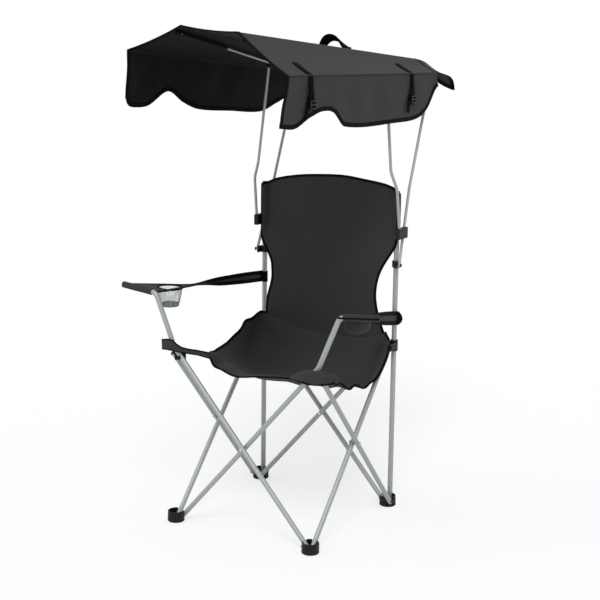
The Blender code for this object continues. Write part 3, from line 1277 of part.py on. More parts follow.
def strap_path(side, y):
    """Points of one edge of a strap, from the slope down past the fold."""
    lift = COVER_THICKNESS / 2.0 + WEBBING / 2.0 + STRAP_GAP
    path = []
    for up in STRAP_UP_SLOPE:
        x = side * (COVER_FOLD - up)
        here = roof_point(x, y)
        inward = roof_point(x - side * STRAP_WIDTH / 2.0, y)
        slope = (inward - here).normalized()
        out = Vector((-slope.z, 0.0, slope.x))
        if out.z < 0.0:
            out = -out
        path.append(here + out * lift)
    fold_x = side * (COVER_FOLD + lift)
    fold_z = roof_height(side * COVER_FOLD, y)
    path.append(Vector((fold_x, y, fold_z + lift * STRAP_TURN_SHARE)))
    for drop, stand in STRAP_DROPS:
        path.append(Vector((fold_x + side * stand, y, fold_z - drop)))
    return path


def canopy_strap(name, side, y):
    """Webbing that crosses the fold and hangs outside the hem."""
    near, far = strap_path(side, y - STRAP_WIDTH / 2.0), strap_path(side, y + STRAP_WIDTH / 2.0)
    return sheet(name, [list(pair) for pair in zip(near, far)], WEBBING, webbing())


def strap_buckle(name, side, y):
    """Small ladder buckle over the strap near its end."""
    end = strap_path(side, y)[-1]
    half = Vector(BUCKLE) / 2.0
    at = Vector((end.x + side * (WEBBING / 2.0 + BUCKLE_GAP + BUCKLE[0] / 2.0), y, end.z + BUCKLE_RISE))
    body = add_object(name, boxes_mesh(name, [(at - half, at + half)]), moulded())
    bevel_edges(body, BUCKLE[0] * PLATE_ROUND_SHARE)
    bars = []
    for sign in (-1.0, 1.0):
        slot = Vector((BUCKLE[0] * 2.0, BUCKLE[1] * BUCKLE_SLOT_SHARES[0],
                       BUCKLE[2] * BUCKLE_SLOT_SHARES[1])) / 2.0
        middle = at + Vector((0.0, 0.0, sign * BUCKLE[2] * BUCKLE_SLOT_SHARES[2]))
        bars.append((middle - slot, middle + slot))
    boolean(body, add_cutter(name + "_slots", boxes_mesh(name + "_slots", bars)), "DIFFERENCE")
    return body


def canopy_cloth():
    canopy_cover()
    rear_flap()
    carry_handle()
    for side, word in ((LEFT, "left"), (RIGHT, "right")):
        for y, place in ((STRAP_PLACES[0], "front"), (STRAP_PLACES[1], "rear")):
            canopy_strap(word + "_" + place + "_canopy_strap", side, y)
            strap_buckle(word + "_" + place + "_strap_buckle", side, y)


def soft_parts():
    back_panel()
    seat_panel()
    armrest("left_armrest", LEFT, PLANE_FAR, HUB_HEIGHT + LEFT_ARM_REAR)
    armrest("right_armrest", RIGHT, PLANE_NEAR, HUB_HEIGHT + RIGHT_ARM_REAR)
    cup_net()
    arm_pocket()
    canopy_cloth()


# Origins: each moving piece turns about its own origin

def set_origin(name, place):
    made = bpy.data.objects[name]
    place = Vector(place)
    made.data.transform(Matrix.Translation(-place))
    made.location = place


def side_joint(side, plane, y, height):
    return Vector((side * plane, y, height))


def joint_origins():
    crossing_y = (PLANE_NEAR + PLANE_FAR) / 2.0
    crossing_x = (SIDE_PLANE_INNER + SIDE_PLANE_OUTER) / 2.0
    set_origin("rear_leg_to_left_slider", (PIVOT_SPREAD, PLANE_FAR, PIVOT_HEIGHT))
    set_origin("rear_crossing_rivet", (0.0, crossing_y, CROSS_HEIGHT))
    set_origin("rear_leg_to_right_slider", (0.0, crossing_y, CROSS_HEIGHT))
    set_origin("rear_left_foot", (-PIVOT_SPREAD, PLANE_NEAR, PIVOT_HEIGHT))
    set_origin("left_upright", (-PIVOT_SPREAD, PLANE_NEAR, PIVOT_HEIGHT))
    set_origin("left_upright_cap", (-PIVOT_SPREAD, PLANE_NEAR, PIVOT_HEIGHT))
    set_origin("left_armrest", (-PIVOT_SPREAD, PLANE_NEAR, PIVOT_HEIGHT))
    set_origin("cup_holder_net", (-PIVOT_SPREAD, PLANE_NEAR, PIVOT_HEIGHT))
    set_origin("rear_right_slider", (PIVOT_SPREAD, PLANE_NEAR, HUB_HEIGHT))
    set_origin("rear_left_slider", (-PIVOT_SPREAD, PLANE_FAR, HUB_HEIGHT))
    set_origin("front_right_foot", side_joint(RIGHT, SIDE_PLANE_INNER, -PIVOT_SPREAD, PIVOT_HEIGHT))
    set_origin("front_leg_and_left_arm_post", front_point(PIVOT_SPREAD, PLANE_FAR, PIVOT_HEIGHT))
    set_origin("left_arm_bar_cap", front_point(PIVOT_SPREAD, PLANE_FAR, PIVOT_HEIGHT))
    set_origin("front_crossing_rivet", (0.0, -crossing_y, CROSS_HEIGHT))
    set_origin("front_leg_and_right_arm_post", (0.0, -crossing_y, CROSS_HEIGHT))
    set_origin("right_arm_bar_cap", (0.0, -crossing_y, CROSS_HEIGHT))
    set_origin("front_left_foot", front_point(-PIVOT_SPREAD, PLANE_NEAR, PIVOT_HEIGHT))
    for side, word in ((LEFT, "left"), (RIGHT, "right")):
        crossing = Vector((side * crossing_x, 0.0, CROSS_HEIGHT))
        set_origin(word + "_side_outer_leg", side_joint(side, SIDE_PLANE_OUTER, PIVOT_SPREAD, PIVOT_HEIGHT))
        set_origin(word + "_side_inner_leg", crossing)
        set_origin(word + "_crossing_rivet", crossing)
        set_origin("front_" + word + "_hub", side_joint(side, SIDE_PLANE_OUTER, -PIVOT_SPREAD, HUB_HEIGHT))
        swing = from_clamp(side, *POLE_PIVOT, 0.0)
        for piece in ("canopy_snap_clip", "rear_pole", "front_pole", "canopy_rail", "rail_tip",
                      "rear_rail_joint", "front_rail_joint", "front_canopy_strap", "rear_canopy_strap",
                      "front_strap_buckle", "rear_strap_buckle"):
            set_origin(word + "_" + piece, swing)
    set_origin("left_canopy_clamp", (-PIVOT_SPREAD, PLANE_NEAR, PIVOT_HEIGHT))
    swing = from_clamp(RIGHT, *POLE_PIVOT, 0.0)
    for piece in ("canopy_cover", "canopy_rear_flap", "carry_handle"):
        set_origin(piece, swing)


def centre_on_origin():
    """Bring the middle of the whole chair's length over the origin."""
    bpy.context.view_layer.update()
    chair = bpy.data.collections["canopy_camping_chair"].objects
    places = [(each.matrix_world @ point.co).y for each in chair for point in each.data.vertices]
    middle = (min(places) + max(places)) / 2.0
    for each in bpy.data.objects:
        each.location.y -= middle


def build():
    clear_scene()
    lower_frame()
    uprights()
    leg_caps()
    cross_rivets()
    feet()
    hubs_and_sliders()
    canopy_frames()
    soft_parts()
    joint_origins()
    centre_on_origin()


build()
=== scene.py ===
"""Looks of a folding camping chair with a sun canopy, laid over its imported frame.

The frame's tubes and mouldings get their finishes. The sling, arms, canopy,
webbing and cup net are sewn here from sheets in mesh code. Lengths are in metres,
the chair faces -Y, and left and right are as the picture shows them.
"""

import json
import math

import bmesh
import bpy
from bpy.props import FloatProperty, FloatVectorProperty, IntProperty, PointerProperty
from mathutils import Matrix, Vector, noise


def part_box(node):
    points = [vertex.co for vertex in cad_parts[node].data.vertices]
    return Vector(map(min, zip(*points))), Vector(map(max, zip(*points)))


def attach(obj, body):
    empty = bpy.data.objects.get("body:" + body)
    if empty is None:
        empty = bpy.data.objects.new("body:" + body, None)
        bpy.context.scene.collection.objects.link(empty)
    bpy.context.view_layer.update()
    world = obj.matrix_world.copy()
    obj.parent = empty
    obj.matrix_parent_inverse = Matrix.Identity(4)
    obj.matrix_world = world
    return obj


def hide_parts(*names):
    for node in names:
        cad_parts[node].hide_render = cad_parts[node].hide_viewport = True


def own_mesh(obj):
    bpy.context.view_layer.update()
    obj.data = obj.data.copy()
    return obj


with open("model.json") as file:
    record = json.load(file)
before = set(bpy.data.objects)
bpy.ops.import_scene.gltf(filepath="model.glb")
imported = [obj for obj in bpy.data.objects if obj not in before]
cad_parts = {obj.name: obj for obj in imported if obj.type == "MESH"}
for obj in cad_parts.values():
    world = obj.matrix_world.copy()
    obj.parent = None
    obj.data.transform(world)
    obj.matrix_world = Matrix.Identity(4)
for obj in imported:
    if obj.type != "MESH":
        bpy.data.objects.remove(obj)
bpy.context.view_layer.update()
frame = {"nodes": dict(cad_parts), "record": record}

bl_info = {
    "name": "Canopy camping chair",
    "version": (1, 0, 0),
    "blender": (4, 5, 0),
    "location": "View3D > Sidebar > Chair",
    "description": "Cloth, webbing and finishes of a folding chair with a sun canopy",
    "category": "Object",
}

LEFT, RIGHT = -1, 1

# Places that the frame gives
SPREAD = 0.210
UPRIGHT_Y = 0.2229
UPRIGHT_RADIUS = 0.007
HUB = 0.455
CLAMP = 0.680
SLEEVE_START = 0.790
UPRIGHT_TOP = 0.868

# The frame's origin lies under its middle; the shapes here are drawn from the middle of the feet
FEET = Vector((0.0, (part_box("left_upright")[0][1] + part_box("left_upright")[1][1]) / 2.0 - UPRIGHT_Y, 0.0))

# Seat: stations along the chair, as heights about the hubs and distances from the middle
SEAT_FRONT = -0.1805
SEAT_REAR = 0.2005
SEAT_SPLIT = 0.0
SEAT_MIDDLE = ((-0.1805, -0.034), (-0.080, -0.062), (0.000, -0.080), (0.060, -0.088), (0.110, -0.084),
               (0.145, -0.070), (0.170, -0.047), (0.187, -0.018), (0.2005, 0.010))
LEFT_REACH = ((-0.1805, 0.124), (-0.140, 0.148), (-0.100, 0.165), (-0.060, 0.177), (0.0, 0.186),
              (0.050, 0.191), (0.150, 0.193), (0.2005, 0.191))
LEFT_EDGE = ((-0.1805, 0.009), (-0.100, -0.003), (-0.017, -0.001), (0.042, 0.013), (0.074, 0.024),
             (0.094, 0.041), (0.131, 0.043), (0.175, 0.054), (0.2005, 0.047))
LEFT_CURVE = ((-0.1805, 1.6), (-0.080, 2.4), (0.040, 4.5), (0.120, 8.0), (0.160, 9.0), (0.178, 9.0),
              (0.187, 5.0), (0.194, 3.0), (0.2005, 2.2))
LEFT_WALL = ((-0.060, 0.0), (0.040, 0.55), (0.110, 0.95), (0.1795, 0.95), (0.187, 0.3), (0.2005, 0.0))
RIGHT_REACH = ((-0.1805, 0.196), (-0.078, 0.207), (-0.018, 0.211), (0.044, 0.216), (0.108, 0.221),
               (0.160, 0.222), (0.185, 0.219), (0.1935, 0.211), (0.2005, 0.196))
RIGHT_EDGE = ((-0.1805, -0.012), (-0.154, -0.023), (-0.078, -0.042), (-0.050, -0.054), (-0.018, -0.067),
              (0.011, -0.066), (0.044, -0.077), (0.065, -0.081), (0.108, -0.069), (0.143, -0.058),
              (0.175, -0.045), (0.190, -0.018), (0.2005, 0.040))
RIGHT_RIDGE = ((0.060, 0.0), (0.100, 0.010), (0.140, 0.026), (0.170, 0.046), (0.187, 0.042), (0.2005, 0.0))
RIDGE_PLACE, RIDGE_WIDTH = 0.2085, 0.012
RIDGE_END, RIDGE_FALL = 0.2225, 0.75
RIGHT_CURVE, RIGHT_CURVE_GAIN, RIGHT_CURVE_REACH = 2.6, 2.0, 0.12

# Legs that the seat's right side clears: where they end, how steeply they rise and by how much
SIDE_LEG_PLACE = 0.2105
SIDE_LEG_END = 0.1935
SIDE_LEG_SLOPE = 1.129
SIDE_LEG_CLEAR = 0.0140
SIDE_LEG_HALF = 0.009
SIDE_LEG_FALL = 1.6
REAR_LEG_END = 0.190
REAR_LEG_TIP = 0.199
REAR_LEG_FRONT = 0.1890
REAR_LEG_SLOPE = 1.14
REAR_LEG_CLEAR = 0.0205
REAR_LEG_RISE = 4.0
FRONT_EDGE = ((-0.124, 0.009), (-0.110, -0.017), (-0.089, -0.024), (-0.041, -0.037), (0.026, -0.028),
              (0.120, -0.018), (0.152, -0.019), (0.196, -0.012))

FRONT_EDGE_REACH = -0.090

# Slack of the seat: calm strips at its ends, folds drawn to the right hub, and a fluttering right edge
SEAT_CALM_FRONT = 0.03
SEAT_CALM_REAR = (0.15, 0.19)
SEAT_SLACK, SEAT_RIPPLE, SEAT_SEED = 1.6, 0.09, 3.1
FOLDS_DRAWN, FOLDS_COUNT = 2.2, 15.0
FOLDS_AT, FOLDS_SQUEEZE = (0.205, -0.190), 0.8
FOLDS_REACH, FOLDS_FADE = 0.13, 0.09
FLUTTER, FLUTTER_TURN, FLUTTER_PHASE = 0.0040, 95.0, 0.8
FLUTTER_START = 0.90
FLUTTER_FRONT, FLUTTER_REAR = (-0.15, -0.10), (0.13, 0.17)

# Seat's corners: strap past the left post, with its half widths, and wrap of the right hub, with its radii
CORNER_STRAP = ((-0.2475, -0.2165, 0.4835, 0.0130), (-0.230, -0.2172, 0.4855, 0.0145),
                (-0.213, -0.2172, 0.4850, 0.0145), (-0.200, -0.2168, 0.4800, 0.0105),
                (-0.186, -0.2150, 0.4765, 0.0070), (-0.170, -0.2060, 0.4725, 0.0065),
                (-0.150, -0.1930, 0.4690, 0.0065), (-0.121, -0.1812, 0.4630, 0.0080))
CORNER_STRAP_DEPTH, CORNER_STRAP_TILT = 0.0030, 0.0006
CORNER_STRAP_TAPE = (0.0022, 0.0040)
CORNER_WRAP = ((0.132, -0.1850, 0.4425, 0.0040, 0.0030), (0.150, -0.1890, 0.4480, 0.0100, 0.0085),
               (0.170, -0.1960, 0.4530, 0.0165, 0.0145), (0.190, -0.2000, 0.4560, 0.0190, 0.0175),
               (0.215, -0.2005, 0.4570, 0.0190, 0.0180), (0.240, -0.2005, 0.4580, 0.0178, 0.0162),
               (0.262, -0.2005, 0.4600, 0.0140, 0.0128), (0.272, -0.2005, 0.4605, 0.0092, 0.0085),
               (0.2755, -0.2005, 0.4605, 0.0030, 0.0030))
CORNER_WRAP_POINTS, CORNER_WRAP_POWER = 32, 3.2
CORNER_WRAP_CREASES = ((0.05, 3.0, 70.0), (0.03, 7.0, -110.0))
CORNER_WRAP_TAPE = (0.0045, 0.0030)
REAR_TAB = (0.1860, 0.1980)
REAR_TAB_START, REAR_TAB_END = 0.0105, 0.002
REAR_TAB_DEPTH = 0.0018
SLING_BINDING = 0.6

# Back: stations up the chair, as distances from the middle, depths and the hollow
BACK_TOP = ((-1.0, -0.002), (-0.93, 0.004), (-0.78, 0.017), (-0.45, 0.031), (-0.1, 0.038), (0.22, 0.040),
            (0.5, 0.034), (0.78, 0.026), (0.93, 0.016), (1.0, 0.010))
BACK_LEFT = ((0.470, 0.192), (0.502, 0.191), (0.523, 0.191), (0.550, 0.188), (0.583, 0.179), (0.606, 0.175),
             (0.629, 0.176), (0.652, 0.180), (0.679, 0.195), (0.705, 0.212), (0.728, 0.2178), (0.900, 0.2178))
BACK_RIGHT = ((0.470, 0.201), (0.499, 0.186), (0.530, 0.174), (0.558, 0.165), (0.591, 0.160), (0.621, 0.162),
              (0.650, 0.169), (0.676, 0.181), (0.714, 0.204),
              (0.735, 0.2150), (0.771, 0.2178), (0.900, 0.2178))
BACK_DEPTH = ((-0.045, -0.0217), (0.134, -0.0204), (0.313, -0.0189), (0.552, -0.0159),
              (0.791, -0.0089), (0.985, 0.0), (1.400, 0.0))
BACK_HOLLOW = ((0.0, 0.0), (0.3, 0.003), (0.7, 0.003), (1.0, -0.004))
BACK_OVERLAP = 0.009
WRAP_RADIUS = 0.0106
WRAP_START, WRAP_FULL = 0.700, 0.740
BACK_SLACK, BACK_RIPPLE, BACK_SEED = 2.6, 0.10, 7.7
PULL, PULL_TURN, PULL_LEAN = 1.5, 46.0, 0.75
PULL_HEIGHT, PULL_FADE = 0.62, 0.20
EDGE_SHARE, EDGE_COLUMNS, MIDDLE_COLUMNS = 0.90, 15, 52

# Sleeves over the uprights: height from the mouth or the top, and distance from the bore
SLEEVE_ROOM, SLEEVE_LID = 0.0006, 0.0040
SLEEVE_HEM = ((0.0005, 0.0), (0.0, 0.0012), (0.001, 0.0019), (0.010, 0.0019), (0.011, 0.0014))
SLEEVE_TOP = ((-0.025, 0.0013), (-0.004, 0.0013), (0.0, 0.0002), (0.0012, -0.00418))
SLEEVE_POINTS = 28
SLEEVE_PUCKER, SLEEVE_PUCKERS, SLEEVE_TWIST = 0.02, 3, 90.0
SLEEVE_TURN, SLEEVE_TURN_SHARE = 0.004, 0.98
LID_SHARE, LID_DROP = 0.9, 0.0008

# Arms: stations along the pad with its inner and outer edge
ARM_PLAN = ((-0.203, 0.274, 0.384), (-0.180, 0.268, 0.376), (-0.155, 0.262, 0.360),
            (-0.130, 0.257, 0.340), (-0.105, 0.253, 0.315), (-0.085, 0.249, 0.286),
            (-0.066, 0.245, 0.262))
BAR_BEND = (0.27387, 0.61669)
BAR_END = (0.37739, 0.62666)
BAR_RISE = math.radians(5.5)
BAR_PLANE = {"left": 0.2065, "right": 0.1925}
ARM_REAR_RISE = {"left": 0.0005, "right": -0.030}
ARM_LOOP = {"left": 0.600, "right": 0.531}
ARM_LOOP_HALF = {"left": 0.015, "right": 0.018}
ARM_LOOP_LOBE = {"left": 0.0, "right": 0.016}
ARM_ROWS, ARM_COLUMNS, STRAP_ROWS = 26, 17, 31
ARM_STRAP_GAP, ARM_TURN_SHARE, ARM_NARROW_SHARE = 0.0012, 0.55, 0.8
ARM_PAD_SHARE = 1.4

# Loop round an upright: radii and heights of its section
LOOP_SECTION = ((0.0074, -0.0145), (0.0086, -0.0150), (0.0092, -0.0140), (0.0090, -0.008), (0.0088, 0.0),
                (0.0090, 0.008), (0.0092, 0.0140), (0.0086, 0.0150), (0.0074, 0.0145))
LOOP_HALF, LOOP_POINTS, LOBE_HALF = 0.015, 28, 0.017

# Sleeve over an arm bar: places along the bar, and beyond its end, with radii
BAR_SLEEVE = ((0.013, 0.0074), (0.012, 0.0086), (0.013, 0.0092), (0.020, 0.0090), (0.040, 0.0087),
              (0.070, 0.0087), (0.095, 0.0088))
BAR_SLEEVE_END = ((0.0036, 0.0084), (0.0050, 0.0045))
BAR_SLEEVE_POINTS = 24
BAR_PUCKER, BAR_PUCKERS, BAR_TWIST = 0.02, 2, 160.0
BAR_SLEEVE_TURN, BAR_LID = 0.004, 0.0030

CUP_PLACE = (0.284, -0.131)
CUP_RADIUS = 0.0310
CUP_FLOOR_RADIUS = 0.023
CUP_DEPTH = 0.050
CUP_HOLE_ROOM, CUP_HOLE_SIDES, CUP_HOLE_DEPTH, CUP_HOLE_HEIGHT = 0.0012, 48, 0.12, 0.620
NET_ROWS, NET_MESHES = 17, 46
NET_TAPER, NET_SLACK, NET_LIFT = 1.6, 0.0045, 0.0008
NET_RIPPLE, NET_RIPPLE_SPAN, NET_SEED = 0.011, 0.03, 2.3
CUP_BASE = ((-0.0224, -0.0012), (-0.011, -0.0014), (0.0, -0.0005), (0.0008, 0.002), (0.0012, 0.008),
            (0.0002, 0.008), (-0.0004, 0.002), (-0.011, 0.0004), (-0.0224, 0.0004))
CUP_BASE_POINTS, CUP_RIM_POINTS = 30, 48
CUP_RIM_INSET, CUP_RIM_REACH, CUP_RIM_LIFT = 0.0006, 0.006, 0.0002
CUP_RIM_TAPE = (0.0055, 0.0042)
POUCH_PLACE = (0.292, -0.136)
POUCH_HALF = (0.024, 0.036)
POUCH_DROP = 0.0463
POUCH_SHARES = (0.0, 0.04, 0.1, 0.25, 0.45, 0.65, 0.82, 0.92, 0.98, 1.0)
POUCH_INNER_SHARES = (0.0, 0.1, 0.25, 0.45, 0.65, 0.82, 0.92, 0.98, 1.0)
POUCH_POINTS, POUCH_POWER = 40, 5.0
POUCH_TAPER, POUCH_ROUND, POUCH_ROUND_START, POUCH_BELLY = 0.15, 0.30, 0.86, 0.05
POUCH_GAP = 0.0028

# Canopy: ridges, folds and hems, as heights above the clamps
COVER_FRONT, COVER_REAR = -0.374, 0.405
COVER_FOLD = 0.2265
RIDGE_FRONT, RIDGE_REAR = (-0.068, 0.092), (-0.160, 0.160)
RIDGE_FRONT_RISE, RIDGE_REAR_RISE = (0.630, 0.618), (0.536, 0.539)
FOLD_FRONT_RISE, FOLD_REAR_RISE = (0.569, 0.523), (0.492, 0.503)
ROOF_SAG = 0.004
FLARE = 0.004
HEM_LEAN = {LEFT: 0.004, RIGHT: 0.034}
HEM_LEAN_REACH = 0.120
BILLOW, BILLOW_SIZE, BILLOW_SPAN = 0.0055, 0.085, 0.12
HEM_WAVE, HEM_WAVE_TOP = 1.6, 1.4
HEM_WAVES = {LEFT: (33.0, 1.2, 4.0), RIGHT: (29.0, 0.4, 9.0)}
HEM_COLUMNS, SPAN_COLUMNS = 22, 26
WELT_RADIUS, WELT_OUT, WELT_POINTS = 0.0019, 0.0006, 10
LEFT_HEM = ((-0.374, 0.456), (-0.365, 0.437), (-0.333, 0.43), (-0.288, 0.432), (-0.205, 0.463),
            (-0.14, 0.432), (-0.074, 0.411), (0.076, 0.398), (0.226, 0.388), (0.305, 0.406),
            (0.37, 0.425), (0.405, 0.445))
RIGHT_HEM = ((-0.374, 0.408), (-0.324, 0.403), (-0.271, 0.425), (-0.22, 0.436), (-0.164, 0.43),
             (-0.109, 0.393), (0.166, 0.385), (0.281, 0.389), (0.34, 0.412), (0.385, 0.458), (0.405, 0.47))
FLAP = ((0.0, 0.0), (0.030, 0.004), (0.060, 0.010), (0.082, 0.019), (0.094, 0.032), (0.100, 0.050))
FLAP_ROWS, FLAP_COLUMNS = 26, 72
FLAP_FLARE, FLAP_GAP = 0.006, 0.0008
FLAP_RIPPLE, FLAP_SEED, FLAP_CALM = 0.05, 5.0, 0.04
STRAP_PLACES = {"front": -0.270, "rear": 0.250}
STRAP_WIDTH = 0.020
STRAP_COLUMNS = 7
STRAP_LIFT, STRAP_CORNER, STRAP_CORNER_SHARE = 0.0011, 0.0007, 0.75
STRAP_ON_ROOF, STRAP_ROOF_ROWS, ROOF_STEP = (0.045, 0.004), 9, 0.01
STRAP_HANG, STRAP_HANG_ROWS = (0.001, 0.080), 16
STRAP_STAND, STRAP_STAND_REACH = 0.0044, 0.06
TAIL_WIDTH = 0.014
TAIL_LEAN = 0.034
TAIL_ROWS, TAIL_START, TAIL_DROP = 16, 0.024, 0.074
TAIL_STAND, TAIL_SWING, TAIL_CURL, TAIL_CURLS = 0.0048, 0.0035, 0.0012, 9.0
TAIL_ACROSS = Vector((0.0, 0.909, -0.417))
HANDLE_PLACE = (0.083, 0.085)
HANDLE_WIDTH = 0.032
HANDLE_THICKNESS = 0.0048
HANDLE_ROWS, HANDLE_COLUMNS, HANDLE_FEET = 60, 7, 0.036
HANDLE_LIFT, HANDLE_END = 0.0009, 0.044
HANDLE_LEAN, HANDLE_LEAN_HEIGHT, HANDLE_SLIDE = 0.35, 0.020, 0.3
HANDLE_ARCH = ((-0.048, 0.0), (-0.036, 0.0), (-0.032, 0.006), (-0.024, 0.018), (-0.012, 0.0255),
               (0.0, 0.026), (0.012, 0.022), (0.024, 0.013), (0.033, 0.004), (0.038, 0.0), (0.044, 0.0))
SLEEVED_RAIL = {"left": ((-0.0895, -0.352, 1.2905), (-0.132, -0.090, 1.2496), 0.0052),
                "right": ((0.1015, -0.352, 1.2775), (0.139, -0.120, 1.2457), 0.0044)}

RAIL_SLEEVE = ((0.0, 0.75), (0.0, 1.0), (0.02, 1.08), (0.5, 1.0), (0.97, 1.0), (1.0, 1.06), (1.0, 0.75))
RAIL_SLEEVE_POINTS, RAIL_SLEEVE_AHEAD = 20, 0.010

# Section of the folded binding: shares of its wrap, its width and its half depth
TAPE_WRAP = 0.0012
TAPE_SHARES = ((-1.0, 0.0, 0.0), (-0.8, 0.0, 0.6), (-0.1, 0.0, 0.95), (1.0, 0.0, 1.0), (0.0, 0.5, 0.92),
               (0.0, 0.92, 0.86), (0.0, 1.0, 0.45), (0.0, 1.0, -0.45), (0.0, 0.92, -0.86),
               (0.0, 0.5, -0.92), (1.0, 0.0, -1.0), (-0.1, 0.0, -0.95), (-0.8, 0.0, -0.6))
MERGE_REACH = 0.00001

# Looks
RAMP_ENDS = (0.3, 0.7)
WAVE_TURN = math.pi / 10.0
THREAD_RELIEF, ROUGHNESS_SPREAD = 0.35, 0.07

# Stage: the floor's size, its white share before the camera, and the lamps' shares, turns and widths
FLOOR_SIDES, FLOOR_RADIUS, FLOOR_WHITE = 96, 14.0, 0.66
LAMPS = (("key_lamp", 1.0, (38.0, 0.0, 28.0), 22.0), ("fill_lamp", 0.28, (52.0, 0.0, -62.0), 40.0))

ROOT = "right_rear_frame"


class ChairSizes(bpy.types.PropertyGroup):
    cloth: FloatProperty(name="Cloth", description="Thickness of the sewn cloth",
                         default=0.0012, min=0.0005, max=0.003, unit="LENGTH")
    binding_width: FloatProperty(name="Binding width", description="How far the binding tape reaches in",
                                 default=0.0100, min=0.004, max=0.02, unit="LENGTH")
    binding_depth: FloatProperty(name="Binding depth", description="Thickness of the folded binding",
                                 default=0.0036, min=0.002, max=0.006, unit="LENGTH")
    webbing: FloatProperty(name="Webbing", description="Thickness of the canopy's webbing",
                           default=0.0015, min=0.0008, max=0.003, unit="LENGTH")
    wrinkle: FloatProperty(name="Wrinkles", description="Depth of the wrinkles in slack cloth",
                           default=0.0016, min=0.0, max=0.004, unit="LENGTH")
    yarn: FloatProperty(name="Net yarn", description="Thickness of the cup net's yarn",
                        default=0.0008, min=0.0003, max=0.002, unit="LENGTH")
    fineness: IntProperty(name="Fineness", description="Rows and columns of a sheet, per tenth of a metre",
                          default=16, min=6, max=30)


class ChairColours(bpy.types.PropertyGroup):
    cloth: FloatVectorProperty(name="Cloth", description="Coated oxford cloth", subtype="COLOR",
                               default=(0.0105, 0.0105, 0.0108))
    binding: FloatVectorProperty(name="Binding", description="Folded tape along the edges", subtype="COLOR",
                                 default=(0.0018, 0.0018, 0.0019))
    webbing: FloatVectorProperty(name="Webbing", description="Straps and handle", subtype="COLOR",
                                 default=(0.0011, 0.0011, 0.0012))
    # Painted shade: the canopy's inside is the same cloth as its outside, made near-black so that the
    # underside and the rail casings look shaded
    lining: FloatVectorProperty(name="Lining", description="Inner face of the canopy", subtype="COLOR",
                                default=(0.0034, 0.0034, 0.0035))
    net: FloatVectorProperty(name="Net", description="Cup net", subtype="COLOR",
                             default=(0.46, 0.50, 0.49))
    steel: FloatVectorProperty(name="Steel", description="Powder coated tubes", subtype="COLOR",
                               default=(0.212, 0.238, 0.232))
    rivet: FloatVectorProperty(name="Rivet", description="Bright rivets", subtype="COLOR",
                               default=(0.60, 0.61, 0.60))
    moulding: FloatVectorProperty(name="Moulding", description="Black moulded nylon", subtype="COLOR",
                                  default=(0.0042, 0.0042, 0.0044))


class StageSettings(bpy.types.PropertyGroup):
    camera_place: FloatVectorProperty(name="Camera", description="Where the camera stands",
                                      subtype="TRANSLATION", default=(1.91667, -3.10527, 1.36416))
    yaw: FloatProperty(name="Yaw", description="Turn of the camera to the left of the chair's axis",
                       default=math.radians(31.10), subtype="ANGLE")
    pitch: FloatProperty(name="Pitch", description="How far the camera looks down",
                         default=math.radians(11.91), subtype="ANGLE")
    roll: FloatProperty(name="Roll", description="Tilt of the picture",
                        default=math.radians(0.73), subtype="ANGLE")
    lens: FloatProperty(name="Lens", description="Focal length in millimetres",
                        default=84.38, min=20, max=300)
    daylight: FloatProperty(name="Daylight", description="Strength of the even light", default=0.56)
    key: FloatProperty(name="Key", description="Strength of the main lamp", default=1.45)
    floor: FloatVectorProperty(name="Floor", description="Colour of the floor", subtype="COLOR",
                               default=(1.0, 1.0, 1.0))


# Values between the knots of a table

def smooth_value(knots, at):
    if at <= knots[0][0]:
        return knots[0][1]
    if at >= knots[-1][0]:
        return knots[-1][1]
    i = max(k for k in range(len(knots) - 1) if knots[k][0] <= at)
    span = knots[i + 1][0] - knots[i][0]

    def slope(k):
        before, after = max(k - 1, 0), min(k + 1, len(knots) - 1)
        return (knots[after][1] - knots[before][1]) / (knots[after][0] - knots[before][0])

    t = (at - knots[i][0]) / span
    low = (1 + 2 * t) * (1 - t) ** 2 * knots[i][1] + t * (1 - t) ** 2 * span * slope(i)
    return low + t * t * (3 - 2 * t) * knots[i + 1][1] + t * t * (t - 1) * span * slope(i + 1)


def steps(low, high, count):
    return [low + (high - low) * k / (count - 1) for k in range(count)]


def soft_step(low, high, at):
    t = max(0.0, min(1.0, (at - low) / (high - low)))
    return t * t * (3 - 2 * t)


def ripple(x, y, seed, size):
    """Slow uneven waviness of slack cloth, from -1 to 1."""
    return noise.noise(Vector((x / size, y / size, seed)))


# Materials

def new_material(name):
    made = bpy.data.materials.new(name)
    made.use_nodes = True
    tree = made.node_tree
    return made, tree, tree.nodes["Principled BSDF"]


def node(tree, kind, **values):
    made = tree.nodes.new(kind)
    for key, value in values.items():
        if key in made.inputs:
            made.inputs[key].default_value = value
        else:
            setattr(made, key, value)
    return made


def object_place(tree):
    return node(tree, "ShaderNodeTexCoord").outputs["Object"]


def patches(tree, place, scale, detail=3.0):
    """Cloudy values from 0 to 1 over the piece."""
    made = node(tree, "ShaderNodeTexNoise", Scale=scale, Detail=detail)
    tree.links.new(place, made.inputs["Vector"])
    return made.outputs["Fac"]


def rough_between(tree, shader, value, low, high):
    made = node(tree, "ShaderNodeMapRange")
    made.inputs["To Min"].default_value = low
    made.inputs["To Max"].default_value = high
    tree.links.new(value, made.inputs["Value"])
    tree.links.new(made.outputs["Result"], shader.inputs["Roughness"])


def colour_spread(tree, shader, value, colour, low, high):
    """Base colour that varies between two shares of its own brightness."""
    ramp = node(tree, "ShaderNodeValToRGB")
    for stop, position, share in zip(ramp.color_ramp.elements, RAMP_ENDS, (low, high)):
        stop.position = position
        stop.color = (*[c * share for c in colour], 1.0)
    tree.links.new(value, ramp.inputs["Fac"])
    tree.links.new(ramp.outputs["Color"], shader.inputs["Base Color"])


def add_bump(tree, shader, height, strength, distance, before=None):
    made = node(tree, "ShaderNodeBump", Strength=strength, Distance=distance)
    tree.links.new(height, made.inputs["Height"])
    if before:
        tree.links.new(before, made.inputs["Normal"])
    tree.links.new(made.outputs["Normal"], shader.inputs["Normal"])
    return made.outputs["Normal"]


